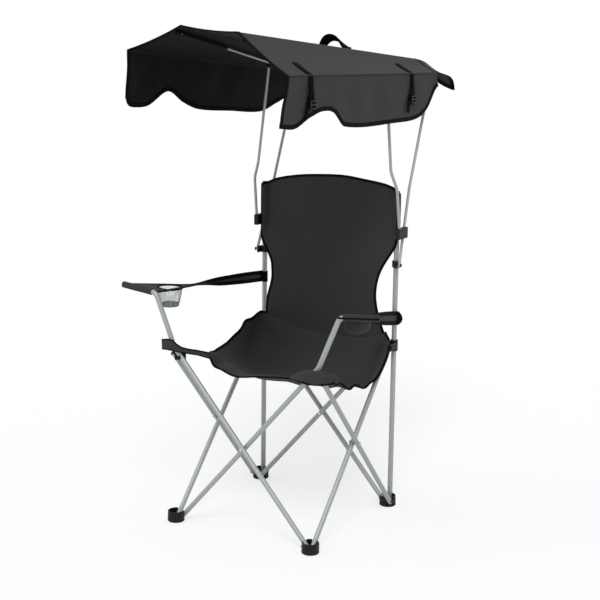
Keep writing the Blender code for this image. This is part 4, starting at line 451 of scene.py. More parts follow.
def thread_bands(tree, coordinates, direction, pitch):
    """Parallel threads at a pitch in metres."""
    made = node(tree, "ShaderNodeTexWave", Scale=WAVE_TURN / pitch)
    made.bands_direction = direction
    tree.links.new(coordinates, made.inputs["Vector"])
    return made.outputs["Fac"]


def combine(tree, operation, a, b):
    made = node(tree, "ShaderNodeMath", operation=operation)
    tree.links.new(a, made.inputs[0])
    tree.links.new(b, made.inputs[1])
    return made.outputs["Value"]


def mix_shaders(tree, share, first, second, target):
    made = node(tree, "ShaderNodeMixShader")
    tree.links.new(share, made.inputs["Fac"])
    tree.links.new(first, made.inputs[1])
    tree.links.new(second, made.inputs[2])
    tree.links.new(made.outputs["Shader"], target)


def woven(name, colour, pitch, roughness, sheen, bump, gloss=0.38):
    """Plain weave on the piece's own UV map, which is in metres."""
    made, tree, shader = new_material(name)
    uv = node(tree, "ShaderNodeUVMap").outputs["UV"]
    place = object_place(tree)
    colour_spread(tree, shader, patches(tree, place, scale=9.0, detail=4.0), colour, low=0.82, high=1.22)
    worn = patches(tree, place, scale=24.0)
    rough_between(tree, shader, worn, roughness - ROUGHNESS_SPREAD, roughness + ROUGHNESS_SPREAD)
    threads = combine(tree, "MULTIPLY", thread_bands(tree, uv, "X", pitch),
                      thread_bands(tree, uv, "Y", pitch))
    first = add_bump(tree, shader, threads, strength=bump, distance=pitch * THREAD_RELIEF)
    creases = patches(tree, place, scale=55.0, detail=4.0)
    add_bump(tree, shader, creases, strength=0.10, distance=0.0012, before=first)
    shader.inputs["Sheen Weight"].default_value = sheen
    shader.inputs["Sheen Roughness"].default_value = 0.45
    shader.inputs["Specular IOR Level"].default_value = gloss
    return made


def oxford_cloth(colours):
    return woven("oxford_cloth", colours.cloth, pitch=0.0009, roughness=0.66, sheen=0.09, bump=0.35)


def canopy_painted_shade(colours):
    # Painted shade: the same woven cloth as outside, darker and less glossy, standing in for the shade under
    # the canopy
    return woven("canopy_painted_shade", colours.lining, pitch=0.0009, roughness=0.80,
                 sheen=0.0, bump=0.30, gloss=0.16)


def binding_tape(colours):
    return woven("binding_tape", colours.binding, pitch=0.0007, roughness=0.72,
                 sheen=0.0, bump=0.40, gloss=0.06)


def ribbed_webbing(colours):
    return woven("ribbed_webbing", colours.webbing, pitch=0.0013, roughness=0.75,
                 sheen=0.0, bump=0.60, gloss=0.04)


def net_yarn(colours):
    made, tree, shader = new_material("net_yarn")
    place = object_place(tree)
    colour_spread(tree, shader, patches(tree, place, scale=60.0), colours.net, low=0.85, high=1.1)
    add_bump(tree, shader, patches(tree, place, scale=1800.0, detail=2.0), strength=0.3, distance=0.0003)
    shader.inputs["Roughness"].default_value = 0.55
    return made


def coated_steel(colours):
    """Powder coat: a fine orange peel and a slightly uneven gloss."""
    made, tree, shader = new_material("coated_steel")
    place = object_place(tree)
    colour_spread(tree, shader, patches(tree, place, scale=14.0, detail=5.0), colours.steel,
                  low=0.90, high=1.10)
    rough_between(tree, shader, patches(tree, place, scale=40.0, detail=4.0), low=0.26, high=0.40)
    peel = patches(tree, place, scale=900.0, detail=2.0)
    first = add_bump(tree, shader, peel, strength=0.12, distance=0.0002)
    add_bump(tree, shader, patches(tree, place, scale=120.0), strength=0.08, distance=0.0004, before=first)
    shader.inputs["Metallic"].default_value = 0.30
    shader.inputs["Coat Weight"].default_value = 0.30
    shader.inputs["Coat Roughness"].default_value = 0.18
    return made


def rivet_metal(colours):
    made, tree, shader = new_material("rivet_metal")
    place = object_place(tree)
    colour_spread(tree, shader, patches(tree, place, scale=260.0), colours.rivet, low=0.80, high=1.05)
    rough_between(tree, shader, patches(tree, place, scale=480.0), low=0.22, high=0.42)
    shader.inputs["Metallic"].default_value = 0.9
    return made


def moulded_nylon(colours):
    """Fine spark grain of a moulding, with scuffed, paler patches."""
    made, tree, shader = new_material("moulded_nylon")
    place = object_place(tree)
    colour_spread(tree, shader, patches(tree, place, scale=70.0, detail=6.0), colours.moulding,
                  low=0.75, high=1.7)
    rough_between(tree, shader, patches(tree, place, scale=90.0, detail=5.0), low=0.36, high=0.56)
    add_bump(tree, shader, patches(tree, place, scale=1500.0, detail=2.0), strength=0.22, distance=0.0002)
    shader.inputs["Specular IOR Level"].default_value = 0.22
    return made


FINISHES = {"coated_steel": coated_steel, "rivet_steel": rivet_metal, "black_moulding": moulded_nylon,
            "oxford_cloth": oxford_cloth, "webbing": ribbed_webbing, "cup_mesh": net_yarn,
            "binding": binding_tape, "lining": canopy_painted_shade}


def finish(name):
    made = bpy.data.materials.get(FINISHES[name].__name__)
    return made or FINISHES[name](bpy.context.scene.chair_colours)


# Sewing: sheets, tubes and folded tape

def deselect_all():
    for each in bpy.context.selected_objects:
        each.select_set(False)


def add_piece(name, mesh, material):
    mesh.transform(Matrix.Translation(FEET))
    made = bpy.data.objects.new(name, mesh)
    mesh.materials.append(material)
    bpy.context.scene.collection.objects.link(made)
    return made


def apply_modifier(piece, kind, **settings):
    deselect_all()
    bpy.context.view_layer.objects.active = piece
    piece.select_set(True)
    step = piece.modifiers.new(kind.lower(), kind)
    for key, value in settings.items():
        setattr(step, key, value)
    bpy.ops.object.modifier_apply(modifier=step.name)
    deselect_all()


def grid_mesh(name, rows, closed=False):
    """Mesh through rows of points, with a UV map in metres along the cloth."""
    bm = bmesh.new()
    layer = bm.loops.layers.uv.new("UVMap")
    grid = [[bm.verts.new(point) for point in row] for row in rows]
    along = [0.0]
    for low, high in zip(rows, rows[1:]):
        middle = len(low) // 2
        along.append(along[-1] + (Vector(high[middle]) - Vector(low[middle])).length)
    across = []
    for row in rows:
        places = [0.0]
        ends = list(row) + [row[0]] if closed else row
        for a, b in zip(ends, ends[1:]):
            places.append(places[-1] + (Vector(b) - Vector(a)).length)
        across.append([p - places[-1] / 2.0 for p in places])
    count = len(rows[0])
    for r in range(len(rows) - 1):
        for c in range(count if closed else count - 1):
            n = (c + 1) % count
            face = bm.faces.new((grid[r][c], grid[r][n], grid[r + 1][n], grid[r + 1][c]))
            face.smooth = True
            corners = ((r, c), (r, c + 1), (r + 1, c + 1), (r + 1, c))
            for loop, (i, j) in zip(face.loops, corners):
                loop[layer].uv = (across[i][j], along[i])
    mesh = bpy.data.meshes.new(name)
    bm.to_mesh(mesh)
    bm.free()
    return mesh


def row_length(row):
    return sum((Vector(b) - Vector(a)).length for a, b in zip(row, row[1:]))


def cloth_sheet(name, rows, material, thickness, outward=None, lining=None):
    """Sheet of cloth through rows of points, given its thickness about them."""
    mesh = grid_mesh(name, rows)
    if outward is not None:
        face = mesh.polygons[len(mesh.polygons) // 2]
        if face.normal.dot(Vector(outward)) < 0.0:
            mesh.flip_normals()
    made = add_piece(name, mesh, material)
    width = max(row_length(row) for row in rows)
    length = max(row_length([row[c] for row in rows]) for c in range(len(rows[0])))
    area = min(sum(face.area for face in mesh.polygons), width * length)
    # The back shell takes the painted shade material when one is given
    if lining:
        mesh.materials.append(lining)
    apply_modifier(made, "SOLIDIFY", thickness=thickness, offset=0.0, use_even_offset=True,
                   material_offset=1 if lining else 0)
    made["flat"] = [width, length, max(area, 0.3 * width * length)]
    return made


def frames_along(path, side_points):
    """Axes at each point of an edge: into the cloth, and square to it."""
    axes = []
    for k, (here, inner) in enumerate(zip(path, side_points)):
        before, after = path[max(k - 1, 0)], path[min(k + 1, len(path) - 1)]
        along = (after - before).normalized()
        inward = inner - here
        inward -= along * inward.dot(along)
        inward.normalize()
        axes.append((inward, along.cross(inward).normalized()))
    return axes


def turn_angles(count):
    return [2.0 * math.pi * k / count for k in range(count)]


def round_ring(centre, first, second, radius, count):
    """Ring of points about a centre, in the plane of two axes."""
    return [centre + (first * math.cos(a) + second * math.sin(a)) * radius for a in turn_angles(count)]


def square_share(cosine, sine, power):
    """How much farther out a rounded square lies than its circle."""
    return (abs(cosine) ** power + abs(sine) ** power) ** (-1.0 / power)


def tape_section(width, depth):
    """Half-round fold on the outside and a pressed edge on the inside."""
    return [(TAPE_WRAP * wrap + width * across, depth / 2.0 * up) for wrap, across, up in TAPE_SHARES]


def folded_tape(name, path, inner_path, width, depth, material):
    """Binding tape folded over an edge of the cloth."""
    path = [Vector(p) for p in path]
    inner_path = [Vector(p) for p in inner_path]
    rows = []
    for here, (inward, up) in zip(path, frames_along(path, inner_path)):
        rows.append([here + inward * a + up * b for a, b in tape_section(width, depth)])
    return closed_tube(name, rows, material)


def closed_tube(name, rows, material, endless=False):
    """Closed skin through rings of points, capped at both ends or running back into itself."""
    mesh = grid_mesh(name, rows + [rows[0]] if endless else rows, closed=True)
    bm = bmesh.new()
    bm.from_mesh(mesh)
    if endless:
        bmesh.ops.remove_doubles(bm, verts=bm.verts, dist=MERGE_REACH)
    edges = [e for e in bm.edges if e.is_boundary]
    if edges:
        bmesh.ops.holes_fill(bm, edges=edges, sides=0)
    bmesh.ops.recalc_face_normals(bm, faces=bm.faces)
    bm.to_mesh(mesh)
    bm.free()
    return add_piece(name, mesh, material)


def joined(name, pieces):
    """One piece from several shells."""
    deselect_all()
    for each in pieces:
        each.select_set(True)
    bpy.context.view_layer.objects.active = pieces[0]
    if len(pieces) > 1:
        bpy.ops.object.join()
    made = bpy.context.view_layer.objects.active
    made.name = name
    made.data.name = name
    deselect_all()
    return made


def ride_and_fold(piece, body, axis=None):
    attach(piece, body)
    if axis:
        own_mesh(piece)


def edge_tapes(name, rows, sides, sizes, share=1.0):
    """Binding along the named sides of a sheet's grid."""
    columns = list(zip(*rows))
    paths = {"first_row": (rows[0], rows[2]), "last_row": (rows[-1], rows[-3]),
             "first_column": (columns[0], columns[2]), "last_column": (columns[-1], columns[-3])}
    width, depth = sizes.binding_width * share, sizes.binding_depth
    return joined(name, [folded_tape(name + "_" + side, *paths[side], width, depth, finish("binding"))
                         for side in sides])


# Seat

def wall_section(across):
    """Share of the width and of the height along a rounded square's quarter."""
    turn = abs(across) * math.pi / 2.0
    reach = (math.sin(turn) ** 4 + math.cos(turn) ** 4) ** -0.25
    return math.copysign(reach * math.sin(turn), across), 1.0 - reach * math.cos(turn)


def left_seat_point(share, y):
    middle, edge = smooth_value(SEAT_MIDDLE, y), smooth_value(LEFT_EDGE, y)
    rise = share ** smooth_value(LEFT_CURVE, y)
    wall = smooth_value(LEFT_WALL, y)
    wall_across, wall_rise = wall_section(share)
    place = share + (wall_across - share) * wall
    rise += (wall_rise - rise) * wall
    return -place * smooth_value(LEFT_REACH, y), middle + (edge - middle) * rise


def right_seat_point(share, y):
    """The near side passes over the side leg and hangs down outside it."""
    middle, edge = smooth_value(SEAT_MIDDLE, y), smooth_value(RIGHT_EDGE, y)
    x = share * smooth_value(RIGHT_REACH, y)
    rise = share ** (RIGHT_CURVE + RIGHT_CURVE_GAIN * soft_step(0.0, RIGHT_CURVE_REACH, y))
    fold = math.exp(-((x - RIDGE_PLACE) / RIDGE_WIDTH) ** 2) if x < RIDGE_PLACE else 1.0
    fold *= 1.0 - RIDGE_FALL * soft_step(RIDGE_PLACE, RIDGE_END, x)
    drop = middle + (edge - middle) * rise + smooth_value(RIGHT_RIDGE, y) * fold
    return x, max(drop, over_the_legs(x, y))


def over_the_legs(x, y):
    """Least height of the cloth above the side leg and the rear leg that end at the right slider."""
    side_top = SIDE_LEG_CLEAR - (SIDE_LEG_END - y) * SIDE_LEG_SLOPE
    side_top -= max(0.0, abs(x - SIDE_LEG_PLACE) - SIDE_LEG_HALF) * SIDE_LEG_FALL
    rear_top = REAR_LEG_CLEAR - max(REAR_LEG_END - x, x - REAR_LEG_TIP, 0.0) * REAR_LEG_SLOPE
    rear_top -= max(0.0, REAR_LEG_FRONT - y) * REAR_LEG_RISE
    return max(side_top, rear_top)


def seat_point(across, y):
    x, drop = left_seat_point(-across, y) if across <= 0.0 else right_seat_point(across, y)
    near_front = 1.0 - soft_step(SEAT_FRONT, FRONT_EDGE_REACH, y)
    drop += (smooth_value(FRONT_EDGE, x) - drop) * near_front
    return Vector((x, y, HUB + drop))


def drawn_folds(x, y):
    """Folds that run to the right hub."""
    away = Vector((x - FOLDS_AT[0], (y - FOLDS_AT[1]) * FOLDS_SQUEEZE))
    fade = math.exp(-((away.length - FOLDS_REACH) / FOLDS_FADE) ** 2)
    return math.sin(math.atan2(away.y, -away.x) * FOLDS_COUNT) * fade


def seat_rows(y_places, columns, wrinkle):
    rows = []
    for y in y_places:
        row = []
        for across in steps(-1.0, 1.0, columns):
            point = seat_point(across, y)
            calm = (1.0 - abs(across) ** 6) * soft_step(SEAT_FRONT, SEAT_FRONT + SEAT_CALM_FRONT, y)
            calm *= 1.0 - soft_step(*SEAT_CALM_REAR, y)
            slack = SEAT_SLACK * ripple(point.x, point.y, SEAT_SEED, SEAT_RIPPLE)
            point.z += wrinkle * calm * (slack + FOLDS_DRAWN * drawn_folds(point.x, point.y))
            loose = soft_step(FLUTTER_START, 1.0, across) * soft_step(*FLUTTER_FRONT, y)
            loose *= 1.0 - soft_step(*FLUTTER_REAR, y)
            point.z += FLUTTER * loose * math.sin(point.y * FLUTTER_TURN + FLUTTER_PHASE)
            row.append(point)
        rows.append(row)
    return rows


# Back

def back_share(height):
    return (height - HUB) / (SLEEVE_START - HUB)


def back_columns():
    """Places across the back, close together where it wraps the uprights."""
    middle = steps(-EDGE_SHARE, EDGE_SHARE, MIDDLE_COLUMNS)[1:-1]
    return steps(-1.0, -EDGE_SHARE, EDGE_COLUMNS) + middle + steps(EDGE_SHARE, 1.0, EDGE_COLUMNS)


def back_point(across, v):
    bottom = seat_point(across, SEAT_REAR).z - BACK_OVERLAP
    top = UPRIGHT_TOP + smooth_value(BACK_TOP, across)
    height = bottom + (top - bottom) * v
    reach = smooth_value(BACK_LEFT if across < 0.0 else BACK_RIGHT, height)
    hollow = smooth_value(BACK_HOLLOW, v) * (1.0 - across * across)
    depth = smooth_value(BACK_DEPTH, back_share(height)) + hollow
    x = across * reach
    beside = abs(x) - SPREAD
    wrap = soft_step(WRAP_START, WRAP_FULL, height)
    if wrap > 0.0 and abs(beside) < WRAP_RADIUS:
        front = -math.sqrt(WRAP_RADIUS ** 2 - beside ** 2)
        depth = min(depth, depth + (front - depth) * wrap)
    elif wrap > 0.0 and beside < 0.0:
        depth += (min(depth, 0.0) - depth) * wrap
    return Vector((x, UPRIGHT_Y + depth, height))


def back_rows(count, wrinkle):
    rows = []
    for v in steps(0.0, 1.0, count):
        row = []
        for across in back_columns():
            point = back_point(across, v)
            calm = (1.0 - across ** 8) * math.sin(math.pi * min(1.0, v * 1.02))
            pull = math.sin(PULL_TURN * (point.z * PULL_LEAN - abs(point.x)))
            pull *= PULL * abs(across) * math.exp(-((v - PULL_HEIGHT) / PULL_FADE) ** 2)
            slack = BACK_SLACK * ripple(point.x, point.z, BACK_SEED, BACK_RIPPLE)
            point.y += wrinkle * calm * (slack + pull)
            row.append(point)
        rows.append(row)
    return rows


# Arms

def arm_height(word, x, y):
    plane = BAR_PLANE[word]
    front = BAR_BEND[1] + (abs(x) - BAR_BEND[0]) * math.tan(BAR_RISE)
    share = max(0.0, min(1.0, (y + plane) / (ARM_PLAN[-1][0] + plane)))
    return front + (BAR_BEND[1] + ARM_REAR_RISE[word] - front) * share


def arm_rows(word, side):
    inner = [(p[0], p[1]) for p in ARM_PLAN]
    outer = [(p[0], p[2]) for p in ARM_PLAN]
    rows = []
    for y in steps(ARM_PLAN[0][0], ARM_PLAN[-1][0], ARM_ROWS):
        places = steps(smooth_value(inner, y), smooth_value(outer, y), ARM_COLUMNS)
        rows.append([Vector((side * x, y, arm_height(word, x, y))) for x in places])
    neck = rows[-1]
    middle = sum(neck, Vector()) / len(neck)
    end = Vector((side * (SPREAD + UPRIGHT_RADIUS + ARM_STRAP_GAP), UPRIGHT_Y, ARM_LOOP[word]))
    neck_half = (neck[-1] - neck[0]).length / 2.0
    for v in steps(0.0, 1.0, STRAP_ROWS)[1:]:
        centre = middle.lerp(end, v)
        turn = soft_step(0.0, ARM_TURN_SHARE, v) * math.pi / 2.0
        half = neck_half + (ARM_LOOP_HALF[word] - neck_half) * soft_step(0.0, ARM_NARROW_SHARE, v)
        across = Vector((side * math.cos(turn), 0.0, math.sin(turn)))
        rows.append([centre + across * half * s for s in steps(-1.0, 1.0, ARM_COLUMNS)])
    return rows


# Canopy

def cover_section(y):
    t = (y - COVER_FRONT) / (COVER_REAR - COVER_FRONT)

    def mix(front, rear):
        return front + (rear - front) * t

    ridges = [(mix(RIDGE_FRONT[k], RIDGE_REAR[k]), CLAMP + mix(RIDGE_FRONT_RISE[k], RIDGE_REAR_RISE[k]))
              for k in (0, 1)]
    folds = [(-COVER_FOLD, CLAMP + mix(FOLD_FRONT_RISE[0], FOLD_REAR_RISE[0])),
             (COVER_FOLD, CLAMP + mix(FOLD_FRONT_RISE[1], FOLD_REAR_RISE[1]))]
    return [folds[0], ridges[0], ridges[1], folds[1]]


def roof_height(x, y):
    corners = cover_section(y)
    for (x0, z0), (x1, z1) in zip(corners, corners[1:]):
        if x0 <= x <= x1:
            t = (x - x0) / (x1 - x0)
            return z0 + (z1 - z0) * t - ROOF_SAG * 4.0 * t * (1.0 - t)
    return corners[0][1] if x < corners[0][0] else corners[-1][1]


def valance_point(side, share, y, hem, fold, wrinkle):
    """Point of a side's hanging edge, at a share of the way from its hem up to the fold."""
    turn, phase, seed = HEM_WAVES[side]
    wave = wrinkle * HEM_WAVE * (1.0 - share) * math.sin(y * turn + phase)
    wave *= math.sin(math.pi * min(1.0, HEM_WAVE_TOP - share))
    wave += BILLOW * math.sin(math.pi * share) * ripple(y, share * BILLOW_SPAN, seed, BILLOW_SIZE)
    near_front = max(0.0, 1.0 - (y - COVER_FRONT) / HEM_LEAN_REACH)
    out = COVER_FOLD + FLARE * (1.0 - share) + wave
    return Vector((side * out, y - HEM_LEAN[side] * near_front * (1.0 - share), hem + (fold - hem) * share))


def cover_rows(y_places, wrinkle):
    rows = []
    shares = steps(0.0, 1.0, HEM_COLUMNS)
    for y in y_places:
        corners = cover_section(y)
        left_hem, right_hem = CLAMP + smooth_value(LEFT_HEM, y), CLAMP + smooth_value(RIGHT_HEM, y)
        row = [valance_point(LEFT, s, y, left_hem, corners[0][1], wrinkle) for s in shares]
        for (x0, _), (x1, _) in zip(corners, corners[1:]):
            row += [Vector((x, y, roof_height(x, y))) for x in steps(x0, x1, SPAN_COLUMNS)[1:]]
        row += [valance_point(RIGHT, s, y, right_hem, corners[-1][1], wrinkle) for s in reversed(shares[:-1])]
        rows.append(row)
    return rows


class CHAIR_OT_stage(bpy.types.Operator):
    """Camera at the picture's viewing angle, pale floor and soft light"""
    bl_idname = "chair.stage"
    bl_label = "Stage"

    def execute(self, context):
        settings = context.scene.chair_stage
        camera_data = bpy.data.cameras.new("camera")
        camera_data.lens = settings.lens
        camera_data.sensor_width = 36.0
        camera = bpy.data.objects.new("camera", camera_data)
        context.scene.collection.objects.link(camera)
        turn = (Matrix.Rotation(settings.yaw, 4, "Z")
                @ Matrix.Rotation(math.pi / 2.0 - settings.pitch, 4, "X")
                @ Matrix.Rotation(settings.roll, 4, "Z"))
        camera.matrix_world = Matrix.Translation(Vector(settings.camera_place) + FEET) @ turn
        context.scene.camera = camera
        self.floor(context, settings)
        self.lamps(context, settings)
        self.studio(context, settings)
        context.scene.view_settings.view_transform = "Standard"
        return {"FINISHED"}

    def floor(self, context, settings):
        deselect_all()
        bpy.ops.mesh.primitive_circle_add(vertices=FLOOR_SIDES, radius=FLOOR_RADIUS, fill_type="NGON",
                                          location=(0.0, 0.0, 0.0))
        floor = context.active_object
        floor.name = "floor"
        material, tree, shader = new_material("pale_floor")
        clouds = patches(tree, object_place(tree), scale=0.6)
        colour_spread(tree, shader, clouds, settings.floor, low=0.995, high=1.005)
        shader.inputs["Roughness"].default_value = 0.9
        shader.inputs["Specular IOR Level"].default_value = 0.1
        self.brighten(tree, shader)
        floor.data.materials.append(material)
        deselect_all()

    def brighten(self, tree, shader):
        """White share of the floor as the camera sees it; the rest carries the shadow."""
        rays = node(tree, "ShaderNodeLightPath")
        share = node(tree, "ShaderNodeMath", operation="MULTIPLY")
        share.inputs[1].default_value = FLOOR_WHITE
        tree.links.new(rays.outputs["Is Camera Ray"], share.inputs[0])
        white = node(tree, "ShaderNodeEmission", Strength=1.0)
        mix_shaders(tree, share.outputs["Value"], shader.outputs["BSDF"], white.outputs["Emission"],
                    tree.nodes["Material Output"].inputs["Surface"])

    def lamps(self, context, settings):
        for name, share, turn, soft in LAMPS:
            data = bpy.data.lights.new(name, "SUN")
            data.energy = settings.key * share
            data.angle = math.radians(soft)
            lamp = bpy.data.objects.new(name, data)
            lamp.rotation_euler = [math.radians(a) for a in turn]
            context.scene.collection.objects.link(lamp)

    def studio(self, context, settings):
        """Even daylight, seen as white by the camera and in reflections."""
        world = bpy.data.worlds.new("studio")
        context.scene.world = world
        world.use_nodes = True
        tree = world.node_tree
        tree.nodes.clear()
        even = node(tree, "ShaderNodeBackground", Strength=settings.daylight)
        white = node(tree, "ShaderNodeBackground", Strength=1.0)
        for each in (even, white):
            each.inputs["Color"].default_value = (1.0, 1.0, 1.0, 1.0)
        rays = node(tree, "ShaderNodeLightPath").outputs
        seen = combine(tree, "MAXIMUM", rays["Is Camera Ray"], rays["Is Glossy Ray"])
        seen = combine(tree, "MAXIMUM", seen, rays["Is Transmission Ray"])
        out = node(tree, "ShaderNodeOutputWorld")
        mix_shaders(tree, seen, even.outputs["Background"], white.outputs["Background"],
                    out.inputs["Surface"])


class CHAIR_OT_frame_finish(bpy.types.Operator):
    """Finishes of the tubes, rivets, mouldings and buckles"""
    bl_idname = "chair.frame_finish"
    bl_label = "Frame finishes"

    def execute(self, context):
        slots = {part["node"]: part["material_slot"] for part in frame["record"]["subparts"]}
        for name, piece in frame["nodes"].items():
            piece.data.materials.clear()
            piece.data.materials.append(finish(slots[name]))
        return {"FINISHED"}


class CHAIR_OT_back(bpy.types.Operator):
    """Back of the sling, its bound edges and the sleeves over the uprights"""
    bl_idname = "chair.back"
    bl_label = "Back"

    def execute(self, context):
        sizes = context.scene.chair_sizes
        rows = back_rows(4 * sizes.fineness, sizes.wrinkle)
        cloth = cloth_sheet("back_cloth", rows, finish("oxford_cloth"), sizes.cloth, outward=(0, -1, 0))
        binding = edge_tapes("back_binding", rows, ("first_column", "last_column", "last_row"), sizes,
                             SLING_BINDING)
        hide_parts("back_panel")
        for piece in (cloth, binding):
            ride_and_fold(piece, ROOT, (1, 0, 0))
        sleeves = [self.sleeve(word, side) for side, word in ((LEFT, "left"), (RIGHT, "right"))]
        ride_and_fold(sleeves[0], "left_rear_frame")
        ride_and_fold(sleeves[1], ROOT)
        return {"FINISHED"}

    def sleeve(self, word, side):
        """Tube of cloth over an upright's top, with a turned hem and a closed end."""
        top = UPRIGHT_TOP + SLEEVE_LID
        bore = UPRIGHT_RADIUS + SLEEVE_ROOM
        profile = [(SLEEVE_START + rise, bore + out) for rise, out in SLEEVE_HEM]
        profile += [(top + rise, bore + out) for rise, out in SLEEVE_TOP]
        middle = Vector((side * SPREAD, UPRIGHT_Y, 0.0))
        rows = []
        for z, radius in profile:
            ring = []
            for angle in turn_angles(SLEEVE_POINTS):
                reach = radius * (1.0 + SLEEVE_PUCKER * math.sin(SLEEVE_PUCKERS * angle + z * SLEEVE_TWIST))
                ring.append(middle + Vector((reach * math.cos(angle), reach * math.sin(angle), z)))
            rows.append(ring)
        out = [p - middle for p in rows[0]]
        inner = [middle + Vector((p.x * SLEEVE_TURN_SHARE, p.y, p.z + SLEEVE_TURN)) for p in out]
        lid = [middle + Vector((p.x * LID_SHARE, p.y * LID_SHARE, top - LID_DROP)) for p in out]
        return closed_tube(word + "_back_sleeve", [lid, inner] + rows, finish("oxford_cloth"))


class CHAIR_OT_seat(bpy.types.Operator):
    """Seat of the sling with its hem, side binding and corner tabs"""
    bl_idname = "chair.seat"
    bl_label = "Seat"

    def execute(self, context):
        sizes = context.scene.chair_sizes
        cloth = finish("oxford_cloth")
        rear_y = steps(SEAT_SPLIT, SEAT_CALM_REAR[0], 24) + steps(SEAT_CALM_REAR[0], SEAT_REAR, 26)[1:]
        front_y = steps(SEAT_FRONT, SEAT_SPLIT, 34)
        halves = (("rear_seat", rear_y, "right_slider", ("first_column", "last_column")),
                  ("front_seat", front_y, "right_hub", ("first_column", "last_column", "first_row")))
        for name, places, body, bound in halves:
            rows = seat_rows(places, 4 * sizes.fineness + 1, sizes.wrinkle)
            piece = cloth_sheet(name + "_cloth", rows, cloth, sizes.cloth, outward=(0, 0, 1))
            binding = edge_tapes(name + "_binding", rows, bound, sizes, SLING_BINDING)
            for each in (piece, binding):
                ride_and_fold(each, body, (1, 0, 0))
            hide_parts("seat_panel")
            extra = self.front_tabs() if body == "right_hub" else self.rear_tabs()
            for each, carrier in extra:
                ride_and_fold(each, carrier)
        return {"FINISHED"}

    def front_tabs(self):
        """Strap from the left corner past the post, and the folded corner round the right hub."""
        cloth, tape = finish("oxford_cloth"), finish("binding")
        rows = []
        for x, y, z, half in CORNER_STRAP:
            rows.append([Vector((x, y - CORNER_STRAP_TILT * s, z + half * s)) for s in steps(-1.0, 1.0, 5)])
        strap = cloth_sheet("left_front_tab", rows, cloth, CORNER_STRAP_DEPTH)
        middle = [row[2] for row in rows]
        edges = [folded_tape("left_tab_edge_" + word, [row[k] for row in rows], middle,
                             *CORNER_STRAP_TAPE, tape)
                 for word, k in (("low", 0), ("high", -1))]
        strap_edges = joined("left_tab_binding", edges)
        rings = [self.wrap_ring(*station) for station in CORNER_WRAP]
        wrap = closed_tube("right_front_corner", rings, cloth)
        front = [ring[CORNER_WRAP_POINTS // 2] for ring in rings[1:-1]]
        below = [ring[CORNER_WRAP_POINTS * 5 // 8] for ring in rings[1:-1]]
        seam = folded_tape("right_corner_binding", below, front, *CORNER_WRAP_TAPE, tape)
        return [(strap, "left_hub"), (strap_edges, "left_hub"), (wrap, "right_hub"), (seam, "right_hub")]

    def wrap_ring(self, x, y, z, deep, tall):
        """Creased rounded square of the wrap at one station along the hub."""
        ring = []
        for angle in turn_angles(CORNER_WRAP_POINTS):
            cosine, sine = math.cos(angle), math.sin(angle)
            share = square_share(cosine, sine, CORNER_WRAP_POWER)
            share *= 1.0 + sum(size * math.sin(turns * angle + x * twist)
                               for size, turns, twist in CORNER_WRAP_CREASES)
            ring.append(Vector((x, y + deep * share * cosine, z + tall * share * sine)))
        return ring

    def rear_tabs(self):
        made = []
        for side, word in ((LEFT, "left"), (RIGHT, "right")):
            rows = []
            top = seat_point(1.0, SEAT_REAR).z - REAR_TAB_END
            for z in steps(HUB + REAR_TAB_START, top, 6):
                rows.append([Vector((side * x, SEAT_REAR, z)) for x in steps(*REAR_TAB, 4)])
            tab = cloth_sheet(word + "_rear_tab", rows, finish("binding"), REAR_TAB_DEPTH)
            made.append((tab, "left_slider" if side == LEFT else "right_slider"))
        return made


